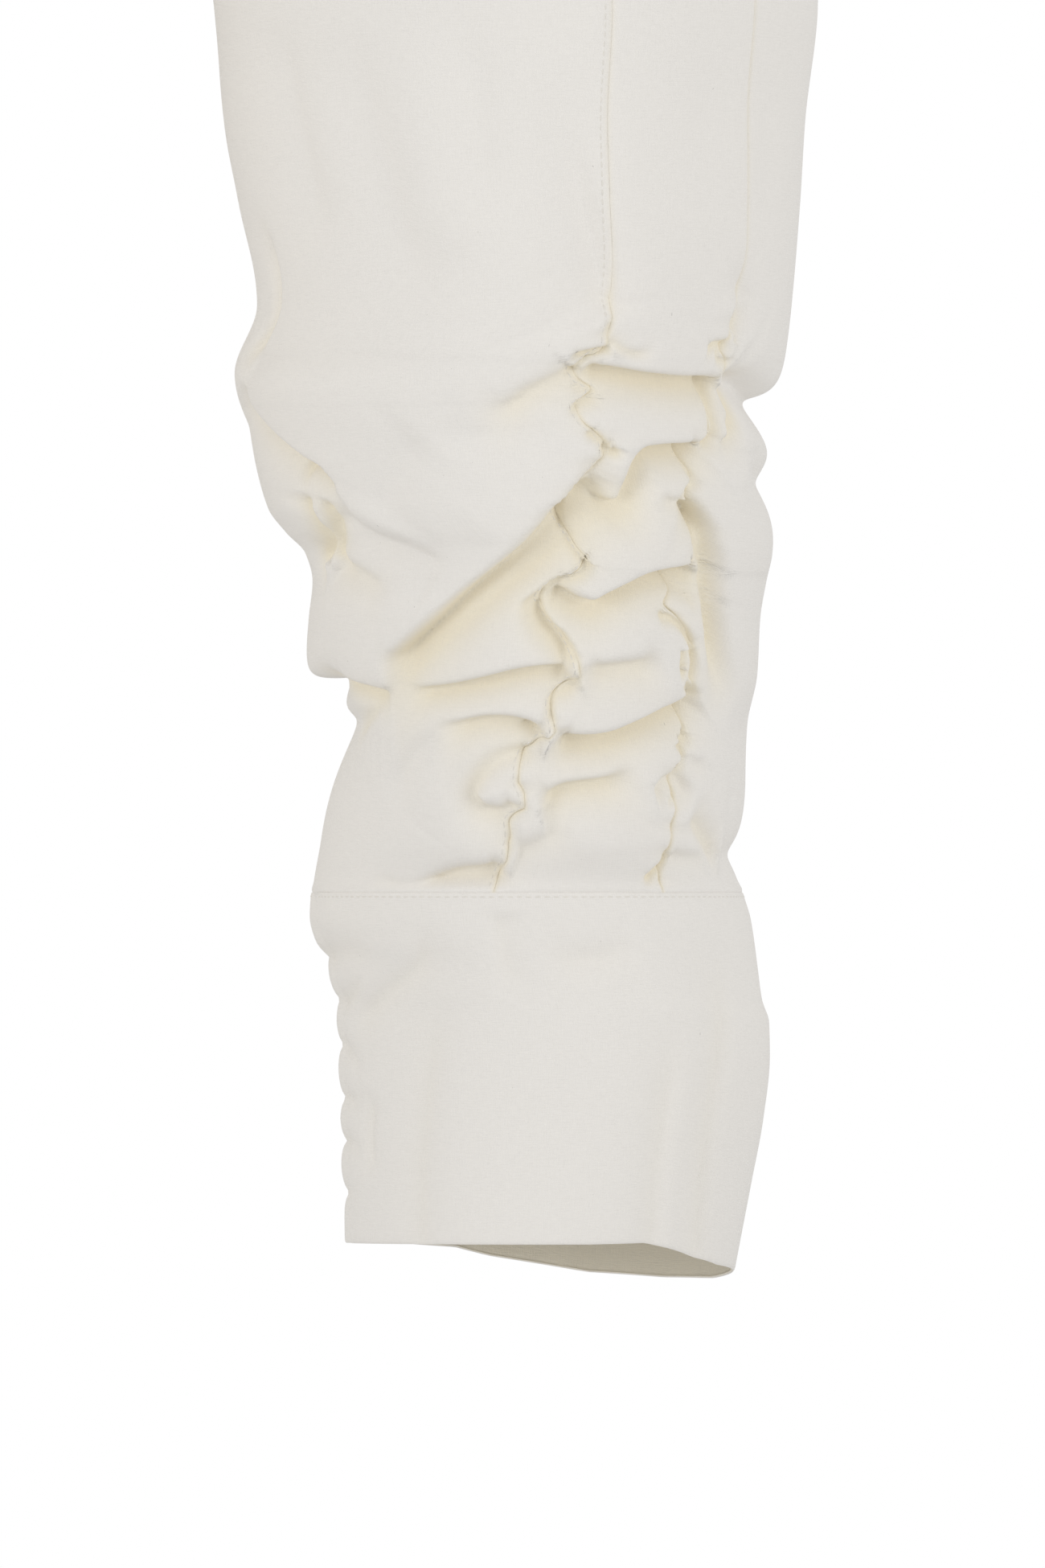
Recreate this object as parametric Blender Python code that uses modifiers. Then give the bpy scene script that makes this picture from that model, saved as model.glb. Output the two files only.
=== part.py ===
"""Cargo capri pants in a worn, filled-out form with no wearer.

Every cut piece is a cloth wall, lofted through sections of one leg surface. Metres, +Z up. The front
faces -Y and the wearer's left is at +X. The origin is the centre of the waist, halfway up the
waistband. Tables are in millimetres and degrees: "up" is the height above the front hem, and an angle
turns round the leg from the front (0) towards the outside (90), the back (180) and the inseam (270,
which is also -90).
"""

from collections import namedtuple

import bmesh
import bpy
import numpy as np
from mathutils import Vector

MM = 0.001

# Driving sizes in metres
HEM_Z = -0.800
WAISTBAND_HEIGHT = 0.040
CUFF_HEIGHT = 0.102
RUCHED_HEIGHT = 0.170
CROTCH_UP = 0.530
CLOTH = 0.0015
WAISTBAND_CLOTH = 0.003
PATCH_CLOTH = 0.0012
SEAM_GAP = 0.0003
PATCH_GAP = 0.0006
FLY_LENGTH = 0.137
POCKET_PUFF = 0.007
WAIST_BUTTON_DIAMETER = 0.018
FLAP_BUTTON_DIAMETER = 0.015
BUTTON_THICKNESS = 0.0028
BUTTON_RIM = 0.0006
BUTTON_SIDES = 16
FLAP_LIFT = 0.0005
FLAP_BUTTON_SEAT = 0.0011

# Colours and roughness of the cloth and the buttons
CLOTH_FINISH = ((0.73, 0.70, 0.65), 0.85)
BUTTON_FINISH = ((0.68, 0.62, 0.52), 0.35)

# How far a valley's cloth rides up under the roll above it, as a share of its depth
DROOP = 0.55
# How soft the bottom of a valley is, in millimetres
VALLEY_ROUNDING = 3.0
# No flank is steeper than the rows can follow: the least reach of a flank, in millimetres
LEAST_REACH = 5.0
# The step over which a flank's slope is measured, in millimetres, and the most that the wall's depth
# grows on a steep flank
SLOPE_STEP = 2.5
MOST_STRETCH = 2.4
# Arc length of one degree at the leg's mean radius, in millimetres
DEGREE_LENGTH = 1.3
# Straight steps that stand for a valley's curved line
LINE_STEPS = 16
# Folds grow from nothing at the cuff seam over this height, and fade out from this height up to the
# waistband, in millimetres
CUFF_EASE = 9.0
WAIST_EASE_UP = 740.0
# Each side seam lies in a groove, deeper where the seam is gathered, in millimetres. The gathers end
# between two heights.
SEAM_GROOVE = 0.7
GATHERED_GROOVE = 3.2
SEAM_REACH = 3.0
GATHERS_FADE_UP = (255.0, 285.0)
# The angle of the inseam
INSEAM = -90.0

# The leg's outer section at each height: its inner and outer side (X) and its front and back (Y)
Section = namedtuple("Section", "up inner outer front back")
SECTIONS = [
    Section(0, 71.1, 184.8, -51, 56),
    Section(16, 70.5, 187.5, -52, 57),
    Section(34, 69.9, 191.2, -53, 58),
    Section(58, 69.1, 193.6, -54, 59),
    Section(67, 68.7, 192.7, -55, 60),
    Section(81, 65.7, 189.1, -56, 61),
    Section(88, 62.0, 187.9, -57, 62),
    Section(95, 60.4, 186.7, -58, 63),
    Section(104, 61.0, 185.4, -59, 64),
    Section(116, 62.0, 186.5, -66, 70),
    Section(139, 61.0, 187.5, -73, 77),
    Section(165, 58.5, 190.5, -79, 82),
    Section(192, 59.0, 194.0, -83, 86),
    Section(211, 50.5, 195.0, -85, 88),
    Section(235, 43.0, 195.5, -87, 89),
    Section(252, 40.0, 197.0, -88, 90),
    Section(272, 44.5, 198.4, -89, 91),
    Section(302, 39.7, 201.8, -90, 92),
    Section(325, 35.5, 203.4, -90, 92),
    Section(360, 32.5, 208.0, -91, 93),
    Section(440, 18.0, 206.0, -95, 99),
    Section(500, 6.0, 199.0, -97, 105),
    Section(530, 0.0, 195.0, -99, 109),
    Section(545, -12.0, 193.5, -101, 112),
    Section(560, -38.0, 192.0, -104, 115),
    Section(580, -78.0, 190.5, -108, 120),
    Section(610, -130.0, 187.0, -115, 128),
    Section(650, -178.0, 182.5, -119, 133),
    Section(700, -168.0, 168.0, -113, 122),
    Section(780, -140.0, 140.0, -98, 104),
]

# The two seams of the side panel: it starts at the outseam and swings forward down the leg, and the
# gathers pull both seams to and fro
Seams = namedtuple("Seams", "up front back")
SEAMS = [
    Seams(102, -8, 39.5),
    Seams(111, -5.5, 42),
    Seams(124, -5, 44.5),
    Seams(130, -4.5, 43),
    Seams(136, -3.5, 45),
    Seams(143, 2, 49.5),
    Seams(153, 5, 48),
    Seams(160, 10, 48.5),
    Seams(167, 11, 47.5),
    Seams(174, 7.5, 48),
    Seams(182, 2.5, 41),
    Seams(189, 2.5, 40),
    Seams(196, 8, 45.5),
    Seams(204, 6, 46.5),
    Seams(211, 8.5, 46),
    Seams(220, 17, 44),
    Seams(227, 20.5, 47),
    Seams(234, 16, 52),
    Seams(242, 19, 52.5),
    Seams(249, 15.5, 56),
    Seams(260, 21, 53),
    Seams(272, 20, 57),
    Seams(302, 19, 55.5),
    Seams(360, 18.6, 52.5),
    Seams(440, 22, 62),
    Seams(500, 26.5, 69),
    Seams(530, 30, 73),
    Seams(545, 36, 77),
    Seams(570, 42, 82),
    Seams(610, 49, 88),
    Seams(645, 52, 90),
    Seams(780, 52, 90),
]

# Valleys between the folds: three places along each, its depth, how far its flanks reach to the left
# (above) and right (below) of the way it runs, and how much of its length fades out at each end
Valley = namedtuple("Valley", "a1 up1 a2 up2 a3 up3 depth above below fade1 fade3")
FRONT_VALLEYS = [
    Valley(23, 229, -2, 202, -46, 160, 20, 11, 3.5, 0.05, 0.25),
    Valley(-96, 168, -59, 159, -36, 157, 14, 2.5, 10, 0.1, 0.3),
    Valley(-42, 157, -13, 162, 12, 167, 10, 3, 9, 0.25, 0.0),
    Valley(-48, 138, -16, 155, 6, 145, 8, 4, 8, 0.5, 0.0),
    Valley(-21, 130, -10, 140, 4, 143, 6, 3, 6, 0.4, 0.0),
    Valley(-66, 104, -28, 107, -5, 113, 6, 3, 5, 0.4, 0.0),
    Valley(-30, 236, 0, 246, 17, 252, 5, 6, 7, 0.5, 0.0),
    Valley(-88, 254, -40, 254, 0, 256, 5, 9, 6, 0.2, 0.5),
    Valley(-88, 256, -75, 240, -48, 219, 6, 5, 3, 0.2, 0.2),
    Valley(-60, 220, -58, 209, -65, 194, 5, 3, 4, 0.2, 0.2),
    Valley(-56, 212, -47, 202, -24, 192, 5, 5, 8, 0.1, 0.5),
    Valley(7, 350, 10, 313, 20, 280, 3, 4, 9, 0.4, 0.1),
    Valley(-78, 334, -66, 309, -64, 268, 3, 8, 4, 0.4, 0.2),
]
SIDE_VALLEYS = [
    Valley(16, 252, 33, 250, 56, 248, 11, 3, 9, 0.0, 0.0),
    Valley(52, 231, 38, 232, 29, 219, 9, 8, 3, 0.0, 0.2),
    Valley(29, 221, 23, 212, 12, 214, 7, 7, 3, 0.2, 0.0),
    Valley(4, 188, 20, 184, 47, 194, 12, 3.5, 9, 0.0, 0.0),
    Valley(12, 166, 25, 163, 44, 170, 8, 5, 8, 0.0, 0.1),
    Valley(5, 147, 26, 145, 52, 159, 11, 3.5, 9, 0.0, 0.0),
    Valley(-2, 123, 8, 135, 44, 134, 9, 3, 9, 0.0, 0.0),
    Valley(30, 103, 38, 108, 45, 116, 5, 4, 5, 0.3, 0.0),
]
BACK_VALLEYS = [
    Valley(53, 251, 85, 241, 150, 256, 10, 3, 10, 0.0, 0.4),
    Valley(48, 231, 100, 220, 168, 234, 7, 3.5, 10, 0.1, 0.4),
    Valley(140, 222, 205, 212, 262, 230, 9, 3.5, 11, 0.4, 0.3),
    Valley(46, 195, 105, 186, 190, 206, 7, 3.5, 10, 0.2, 0.4),
    Valley(165, 186, 225, 178, 272, 168, 12, 3.5, 11, 0.4, 0.1),
    Valley(50, 150, 86, 150, 160, 160, 6, 3.5, 9, 0.1, 0.4),
    Valley(120, 140, 180, 134, 250, 148, 9, 3.5, 10, 0.3, 0.3),
    Valley(44, 131, 62, 120, 84, 113, 8, 3, 7, 0.1, 0.2),
    Valley(80, 114, 150, 118, 235, 111, 6, 3, 8, 0.2, 0.4),
    Valley(200, 128, 240, 122, 268, 130, 6, 3, 8, 0.3, 0.3),
    Valley(120, 300, 180, 284, 240, 296, 4, 9, 14, 0.4, 0.4),
    Valley(110, 470, 180, 486, 255, 512, 4, 10, 16, 0.4, 0.4),
]
VALLEYS = FRONT_VALLEYS + SIDE_VALLEYS + BACK_VALLEYS

# How far the hem hangs below the front hem, in millimetres, at each angle
HemDrop = namedtuple("HemDrop", "angle drop")
HEM_DROPS = [
    HemDrop(-90, 0.0),
    HemDrop(35, 0.0),
    HemDrop(54, 3.5),
    HemDrop(90, 8.0),
    HemDrop(107, 12.0),
    HemDrop(140, 13.0),
    HemDrop(165, 11.5),
    HemDrop(186, 8.5),
    HemDrop(204, 3.7),
    HemDrop(235, 0.0),
    HemDrop(300, 0.0),
]

# The cuff laps at the inseam, and tacks pull the lap in at even steps
TACK_FIRST_UP = 15.0
TACK_PITCH = 14.0
TACK_COUNT = 6
TACK_DEPTH = 3.0
TACK_REACH = 2.4
TACK_SPREAD = 15.0
LAP_EDGE_ANGLE = -76.0
LAP_UNDER_ANGLE = 296.0
LAP_STEP_START = 268.0
LAP_STEP_END = 280.0
# Width of the columns at the lap's ends, and how far from it the even columns start, in degrees
LAP_COLUMN = 8.0
LAP_CLEAR = 18.0

# The waistband runs between two angles and steps inside its own lap between two more. Its lower edge
# lies outside its upper one.
BAND_START = -9.0
BAND_END = 367.0
BAND_STEP_START = 338.0
BAND_STEP_END = 349.0
BAND_LEAN = 0.0008

# Columns of each piece round the leg, and rows in each stretch up the leg
FRONT_COLUMNS = 15
SIDE_COLUMNS = 6
BACK_COLUMNS = 11
CUFF_COLUMNS = 24
RUCHED_ROWS = 31
THIGH_ROWS = 5
CROTCH_ROWS = (0.530, 0.536, 0.545, 0.560, 0.580)
HIP_ROWS = (0.610, 0.640, 0.676, 0.712, 0.747)
WAISTBAND_COLUMNS = 44
# Panel columns and rows that the patches cover
POCKET_SIDE_COLUMNS = 3
POCKET_BACK_COLUMNS = 3
FLY_COLUMNS = 4

# Heights of the cargo pocket, its flap and the flap's button, in millimetres
POCKET_BOTTOM_UP = 383.0
POCKET_TOP_UP = 529.0
FLAP_BOTTOM_UP = 488.0
FLAP_TOP_UP = 543.0
FLAP_POINT = 9.0
FLAP_BUTTON_UP = 496.0
# The pocket's fullness: how round it is across, the share of its height over which it fills, the share
# from which it flattens towards the mouth, and how much it flattens there
POCKET_ROUNDING = 0.6
POCKET_FILLS_BY = 0.3
POCKET_FLATTENS_FROM = 0.55
POCKET_FLATTENING = 0.7
# How much higher the fly's bottom edge is at its outer corner, in millimetres
FLY_CORNER = 29.0
# No row of a patch is nearer to its edge than this, in millimetres
LEAST_ROW = 2.0


def table_column(table, name):
    return np.array([getattr(row, name) for row in table], float)


def smooth_read(table, key, name, at):
    """Reads a column at any height by a cubic that never overshoots the rows on either side."""
    x = table_column(table, key)
    y = table_column(table, name)
    step = np.diff(x)
    rise = np.diff(y) / step
    slope = np.zeros_like(y)
    same = rise[:-1] * rise[1:] > 0
    safe = np.where(same, rise[:-1] + rise[1:], 1.0)
    slope[1:-1] = np.where(same, 2 * rise[:-1] * rise[1:] / safe, 0.0)
    slope[0], slope[-1] = rise[0], rise[-1]
    at = np.clip(at, x[0], x[-1])
    i = np.clip(np.searchsorted(x, at, side="right") - 1, 0, len(x) - 2)
    t = (at - x[i]) / step[i]
    start = (1 + 2 * t) * (1 - t) ** 2 * y[i] + t * (1 - t) ** 2 * step[i] * slope[i]
    end = t * t * (3 - 2 * t) * y[i + 1] - t * t * (1 - t) * step[i] * slope[i + 1]
    return start + end


def ease(value, low, high):
    t = np.clip((value - low) / (high - low), 0, 1)
    return t * t * (3 - 2 * t)


def valley_depth(valley, angle, up):
    """How deep one valley is at each place, in millimetres."""
    start = np.array([valley.a1 * DEGREE_LENGTH, valley.up1])
    middle = np.array([valley.a2 * DEGREE_LENGTH, valley.up2])
    end = np.array([valley.a3 * DEGREE_LENGTH, valley.up3])
    control = 2 * middle - (start + end) / 2
    along = np.linspace(0, 1, LINE_STEPS + 1)[:, None]
    line = (1 - along) ** 2 * start + 2 * along * (1 - along) * control + along**2 * end
    places = np.stack([angle * DEGREE_LENGTH, up], axis=-1)
    nearest = np.full(angle.shape, np.inf)
    side = np.zeros(angle.shape)
    run = np.zeros(angle.shape)
    for i in range(LINE_STEPS):
        way = line[i + 1] - line[i]
        offset = places - line[i]
        t = np.clip((offset @ way) / (way @ way), 0, 1)
        gap = offset - t[..., None] * way
        distance = np.hypot(gap[..., 0], gap[..., 1])
        closer = distance < nearest
        nearest = np.where(closer, distance, nearest)
        side = np.where(closer, way[0] * offset[..., 1] - way[1] * offset[..., 0], side)
        run = np.where(closer, (i + t) / LINE_STEPS, run)
    reach = np.maximum(np.where(side > 0, valley.above, valley.below), LEAST_REACH)
    profile = np.exp(-(np.hypot(nearest, VALLEY_ROUNDING) - VALLEY_ROUNDING) / reach)
    fade = np.ones(angle.shape)
    if valley.fade1:
        fade = fade * ease(run, 0, valley.fade1)
    if valley.fade3:
        fade = fade * ease(1 - run, 0, valley.fade3)
    return valley.depth * profile * fade


def fold_level(up):
    """The share of the folds that is left near the cuff seam and the waistband."""
    cuff_top = CUFF_HEIGHT / MM
    low = ease(up, cuff_top, cuff_top + CUFF_EASE)
    return low * (1 - ease(up, WAIST_EASE_UP, SECTIONS[-1].up - 1))


def fold_depth(angle, up):
    """How far the cloth lies inside the section at each place, in millimetres."""
    total = np.zeros(angle.shape)
    for valley in VALLEYS:
        for turn in (-360, 0, 360):
            total += valley_depth(valley, angle + turn, up) ** 2
    groove = SEAM_GROOVE + GATHERED_GROOVE * (1 - ease(up, *GATHERS_FADE_UP))
    for name in ("front", "back"):
        away = np.abs(angle - smooth_read(SEAMS, "up", name, up)) * DEGREE_LENGTH
        total += (groove * np.exp(-away / SEAM_REACH)) ** 2
    return np.sqrt(total) * fold_level(up)


def wall_depth(angle, up):
    """How far the inner wall lies behind the outer one, more on steep flanks to keep its thickness."""
    rise = SLOPE_STEP
    turn = SLOPE_STEP / DEGREE_LENGTH
    along = (fold_depth(angle, up + rise) - fold_depth(angle, up - rise)) / (2 * rise)
    across = (fold_depth(angle + turn, up) - fold_depth(angle - turn, up)) / (2 * rise)
    stretch = np.sqrt(across**2 + along**2 + (1 + DROOP * along) ** 2)
    return CLOTH * np.clip(stretch, 1, MOST_STRETCH)


def tack_depth(angle, up):
    """How far the tacks pull the cuff's lap in, in millimetres."""
    tack = np.clip(np.round((up - TACK_FIRST_UP) / TACK_PITCH), 0, TACK_COUNT - 1)
    away = np.abs(up - TACK_FIRST_UP - tack * TACK_PITCH)
    turn = (angle - INSEAM + 180) % 360 - 180
    return TACK_DEPTH * np.exp(-away / TACK_REACH) * np.exp(-((turn / TACK_SPREAD) ** 2))


def leg_surface(angle, up, inward=0.0):
    """The left leg's outer surface at angles and heights of any one array shape, in metres."""
    inner = smooth_read(SECTIONS, "up", "inner", up)
    outer = smooth_read(SECTIONS, "up", "outer", up)
    front = smooth_read(SECTIONS, "up", "front", up)
    back = smooth_read(SECTIONS, "up", "back", up)
    across, deep = (outer - inner) / 2, (back - front) / 2
    radians = np.radians(angle)
    x = (inner + outer) / 2 + across * np.sin(radians)
    y = (front + back) / 2 - deep * np.cos(radians)
    cuff = up < CUFF_HEIGHT / MM
    drop = np.interp(angle, table_column(HEM_DROPS, "angle"), table_column(HEM_DROPS, "drop"))
    drop = drop * np.clip(1 - up * MM / CUFF_HEIGHT, 0, 1)
    fold = np.where(cuff, tack_depth(angle, up), fold_depth(angle, up))
    inward = inward / MM
    inside = fold + inward
    length = np.hypot(np.sin(radians) / across, np.cos(radians) / deep)
    x = x - inside * np.sin(radians) / across / length
    y = y + inside * np.cos(radians) / deep / length
    z = up - drop + DROOP * np.where(cuff, 0, fold + inward * fold_level(up))
    return np.stack([x * MM, y * MM, HEM_Z + z * MM], axis=-1)


def surface_normal(surface, angle, up):
    """Outward normals of a surface function, from places a little to each side."""
    turn, rise = 0.2, 0.25
    across = surface(angle + turn, up) - surface(angle - turn, up)
    along = surface(angle, up + rise) - surface(angle, up - rise)
    normal = np.cross(across, along)
    return normal / np.linalg.norm(normal, axis=-1, keepdims=True)


def centre_angle(up):
    """The angle at which the section meets the centre plane, or the inseam's below the crotch."""
    inner = smooth_read(SECTIONS, "up", "inner", up)
    outer = smooth_read(SECTIONS, "up", "outer", up)
    middle, across = (inner + outer) / 2, (outer - inner) / 2
    inset = SEAM_GAP / 2 / MM
    whole = INSEAM + np.degrees(inset / across)
    cut = np.degrees(np.arcsin(np.clip((inset - middle) / across, -1, 1)))
    return np.where(up <= CROTCH_UP / MM, whole, np.maximum(cut, whole))


def panel_rows():
    """Heights of the rows that the front, side and back panels share, in millimetres."""
    start = CUFF_HEIGHT + SEAM_GAP / 2
    ruched = np.linspace(start, CUFF_HEIGHT + RUCHED_HEIGHT, RUCHED_ROWS)
    thigh = np.linspace(CUFF_HEIGHT + RUCHED_HEIGHT, CROTCH_ROWS[0], THIGH_ROWS + 2)[1:-1]
    top = -HEM_Z - WAISTBAND_HEIGHT / 2 - SEAM_GAP
    return np.concatenate([ruched, thigh, CROTCH_ROWS, HIP_ROWS, [top]]) / MM


def panel_angles(piece, rows):
    """Angles of a panel's points, one row of them at each height."""
    inset = SEAM_GAP / 2 / MM / DEGREE_LENGTH
    front_seam = smooth_read(SEAMS, "up", "front", rows)
    back_seam = smooth_read(SEAMS, "up", "back", rows)
    start, end, count = {
        "front": (centre_angle(rows), front_seam - inset, FRONT_COLUMNS),
        "side": (front_seam + inset, back_seam - inset, SIDE_COLUMNS),
        "back": (back_seam + inset, 180 - centre_angle(rows), BACK_COLUMNS),
    }[piece]
    share = np.linspace(0, 1, count + 1)
    return start[:, None] + (end - start)[:, None] * share[None, :]


def panel_points(piece):
    rows = panel_rows()
    angles = panel_angles(piece, rows)
    ups = np.repeat(rows[:, None], angles.shape[1], axis=1)
    outer = leg_surface(angles, ups)
    inner = leg_surface(angles, ups, wall_depth(angles, ups))
    return outer, inner, surface_normal(leg_surface, angles, ups)


def cuff_surface(angle, up):
    """The cuff, whose under end steps inside the lap at the inseam."""
    step = ease(angle, LAP_STEP_START, LAP_STEP_END) * (CLOTH + 2 * SEAM_GAP)
    return leg_surface(angle, up, step)


def cuff_points():
    tacks = TACK_FIRST_UP + TACK_PITCH / 2 * np.arange(-1, 2 * TACK_COUNT)
    rows = np.concatenate([[0], tacks, [(CUFF_HEIGHT - SEAM_GAP / 2) / MM]])
    lap = [LAP_EDGE_ANGLE, LAP_EDGE_ANGLE + LAP_COLUMN]
    step = [LAP_STEP_START - LAP_COLUMN, LAP_STEP_START, (LAP_STEP_START + LAP_STEP_END) / 2, LAP_STEP_END]
    under = [LAP_EDGE_ANGLE + 360 + LAP_COLUMN, LAP_UNDER_ANGLE]
    even_count = CUFF_COLUMNS + 1 - len(lap) - len(step) - len(under)
    even = np.linspace(LAP_EDGE_ANGLE + LAP_CLEAR, LAP_STEP_START - LAP_CLEAR, even_count)
    grid, ups = np.meshgrid(np.concatenate([lap, even, step, under]), rows)
    outer = cuff_surface(grid, ups)
    return outer, outer - surface_normal(cuff_surface, grid, ups) * CLOTH


def wall_mesh(name, outer, inner):
    """A closed wall between two grids of points, whose quads are split the same way on both sides."""
    count_up, count_round = outer.shape[:2]
    mesh = bpy.data.meshes.new(name)
    shape = bmesh.new()
    outside = [[shape.verts.new(point) for point in row] for row in outer]
    inside = [[shape.verts.new(point) for point in row] for row in inner]

    def quad(a, b, c, d, split):
        corners = ((a, b, c), (a, c, d)) if split else ((a, b, d), (b, c, d))
        for three in corners:
            shape.faces.new(three)

    for i in range(count_up - 1):
        for j in range(count_round - 1):
            one = np.linalg.norm(outer[i, j] - outer[i + 1, j + 1])
            other = np.linalg.norm(outer[i, j + 1] - outer[i + 1, j])
            split = one <= other
            for grid in (outside, inside):
                quad(grid[i][j], grid[i][j + 1], grid[i + 1][j + 1], grid[i + 1][j], split)
    for i in range(count_up - 1):
        for j in (0, count_round - 1):
            quad(outside[i][j], outside[i + 1][j], inside[i + 1][j], inside[i][j], True)
    for j in range(count_round - 1):
        for i in (0, count_up - 1):
            quad(outside[i][j], outside[i][j + 1], inside[i][j + 1], inside[i][j], True)
    bmesh.ops.recalc_face_normals(shape, faces=shape.faces)
    if shape.calc_volume(signed=True) < 0:
        bmesh.ops.reverse_faces(shape, faces=shape.faces)
    shape.to_mesh(mesh)
    shape.free()
    mesh.shade_smooth()
    return mesh


def mirrored(points, side):
    return points * np.array([side, 1, 1])


def material(name, colour, roughness):
    made = bpy.data.materials.new(name)
    made.use_nodes = True
    shader = made.node_tree.nodes["Principled BSDF"]
    shader.inputs["Base Color"].default_value = (*colour, 1)
    shader.inputs["Roughness"].default_value = roughness
    shader.inputs["Metallic"].default_value = 0.0
    return made


def add_object(name, mesh, finish, collection):
    piece = bpy.data.objects.new(name, mesh)
    piece.data.materials.append(finish)
    collection.objects.link(piece)
    return piece


def add_wall(name, outer, inner, side, finish, collection):
    mesh = wall_mesh(name, mirrored(outer, side), mirrored(inner, side))
    return add_object(name, mesh, finish, collection)


def waistband_points():
    """A band that laps over itself at the centre front."""
    angles = np.linspace(BAND_START, BAND_END, WAISTBAND_COLUMNS + 1)
    across = SECTIONS[-1].outer * MM
    deep = (SECTIONS[-1].back - SECTIONS[-1].front) / 2 * MM
    middle = (SECTIONS[-1].back + SECTIONS[-1].front) / 2 * MM
    step = ease(angles, BAND_STEP_START, BAND_STEP_END) * (WAISTBAND_CLOTH + SEAM_GAP)
    heights = np.array([-WAISTBAND_HEIGHT / 2, WAISTBAND_HEIGHT / 2])
    lean = BAND_LEAN * (0.5 - heights / WAISTBAND_HEIGHT)

    def ring(inward):
        x = (across + lean[:, None] - inward) * np.sin(np.radians(angles))
        y = middle - (deep + lean[:, None] - inward) * np.cos(np.radians(angles))
        return np.stack([x, y, np.repeat(heights[:, None], len(angles), axis=1)], axis=-1)

    return ring(step[None, :]), ring(step[None, :] + WAISTBAND_CLOTH)


def add_button(name, place, normal, diameter, finish, collection):
    radius = diameter / 2
    bpy.ops.mesh.primitive_cylinder_add(vertices=BUTTON_SIDES, radius=radius, depth=BUTTON_THICKNESS)
    button = bpy.context.object
    button.name = name
    button.data.name = name
    button.location = place
    button.rotation_mode = "QUATERNION"
    button.rotation_quaternion = normal.to_track_quat("Z", "Y")
    rim = button.modifiers.new("rim", "BEVEL")
    rim.width = BUTTON_RIM
    rim.segments = 1
    button.data.materials.append(finish)
    for old in list(button.users_collection):
        old.objects.unlink(button)
    collection.objects.link(button)
    return button


def at_heights(points, rows, heights):
    """Points on the straight lines between a panel's rows, at any height in each column."""
    columns = np.arange(points.shape[1])
    above = np.clip(np.searchsorted(rows, heights), 1, len(rows) - 1)
    share = ((heights - rows[above - 1]) / (rows[above] - rows[above - 1]))[..., None]
    return points[above - 1, columns] * (1 - share) + points[above, columns] * share


def lies_on(panel, rows, heights, offset, thickness):
    """A wall's outer and inner points, moved out from panel points by an offset."""
    points, normals = (at_heights(layer, rows, heights) for layer in panel)
    normals = normals / np.linalg.norm(normals, axis=-1, keepdims=True)
    inner = points + normals * offset[..., None]
    return inner + normals * thickness, inner


def pocket_puff(across, up):
    """How far the pocket stands off the leg: nothing at its sewn edges, little at its mouth."""
    rise = (up - POCKET_BOTTOM_UP) / (POCKET_TOP_UP - POCKET_BOTTOM_UP)
    swell = (4 * across * (1 - across)) ** POCKET_ROUNDING * ease(rise, 0, POCKET_FILLS_BY)
    return POCKET_PUFF * swell * (1 - POCKET_FLATTENING * ease(rise, POCKET_FLATTENS_FROM, 1))


def flap_button_place(flap, heights, side):
    """The button's middle and its outward direction, on the flap's centre line just above its point."""
    column = heights.shape[1] // 2
    outer, inner = (
        [np.interp(FLAP_BUTTON_UP, heights[:, column], layer[:, column, k]) for k in range(3)] for layer in flap
    )
    outer, inner = Vector(mirrored(outer, side)), Vector(mirrored(inner, side))
    normal = (outer - inner).normalized()
    return outer + normal * (BUTTON_THICKNESS / 2 + FLAP_BUTTON_SEAT), normal


def patch_heights(rows, bottom, top):
    """Rows of a patch: its bottom edge, the panel's own rows that it covers, and its top edge."""
    covered = rows[(rows > bottom.max() + LEAST_ROW) & (rows < top - LEAST_ROW)]
    middle = np.repeat(covered[:, None], len(bottom), axis=1)
    return np.concatenate([bottom[None, :], middle, np.full((1, len(bottom)), top)])


def pocket_walls(panel, rows):
    across = np.linspace(0, 1, panel[0].shape[1])
    heights = patch_heights(rows, np.full(across.shape, POCKET_BOTTOM_UP), POCKET_TOP_UP)
    offset = PATCH_GAP + pocket_puff(across[None, :], heights)
    pocket = lies_on(panel, rows, heights, offset, PATCH_CLOTH)
    point = FLAP_POINT * (1 - np.abs(2 * across - 1))
    heights = patch_heights(rows, FLAP_BOTTOM_UP - point, FLAP_TOP_UP)
    clear = PATCH_CLOTH + 2 * SEAM_GAP + FLAP_LIFT
    offset = PATCH_GAP + pocket_puff(across[None, :], np.minimum(heights, POCKET_TOP_UP)) + clear
    offset[-1] = PATCH_GAP
    flap = lies_on(panel, rows, heights, offset, CLOTH)
    return pocket, flap, heights


def fly_walls(front_panel, rows):
    panel = [layer[:, : FLY_COLUMNS + 1] for layer in front_panel]
    across = np.linspace(0, 1, FLY_COLUMNS + 1)
    top = (-HEM_Z - WAISTBAND_HEIGHT / 2 - 2 * SEAM_GAP) / MM
    bottom = top - FLY_LENGTH / MM + FLY_CORNER * across**2
    heights = patch_heights(rows, bottom, top)
    return lies_on(panel, rows, heights, np.full(heights.shape, PATCH_GAP), PATCH_CLOTH)


def clear_scene():
    for old in list(bpy.data.objects):
        bpy.data.objects.remove(old)


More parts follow.
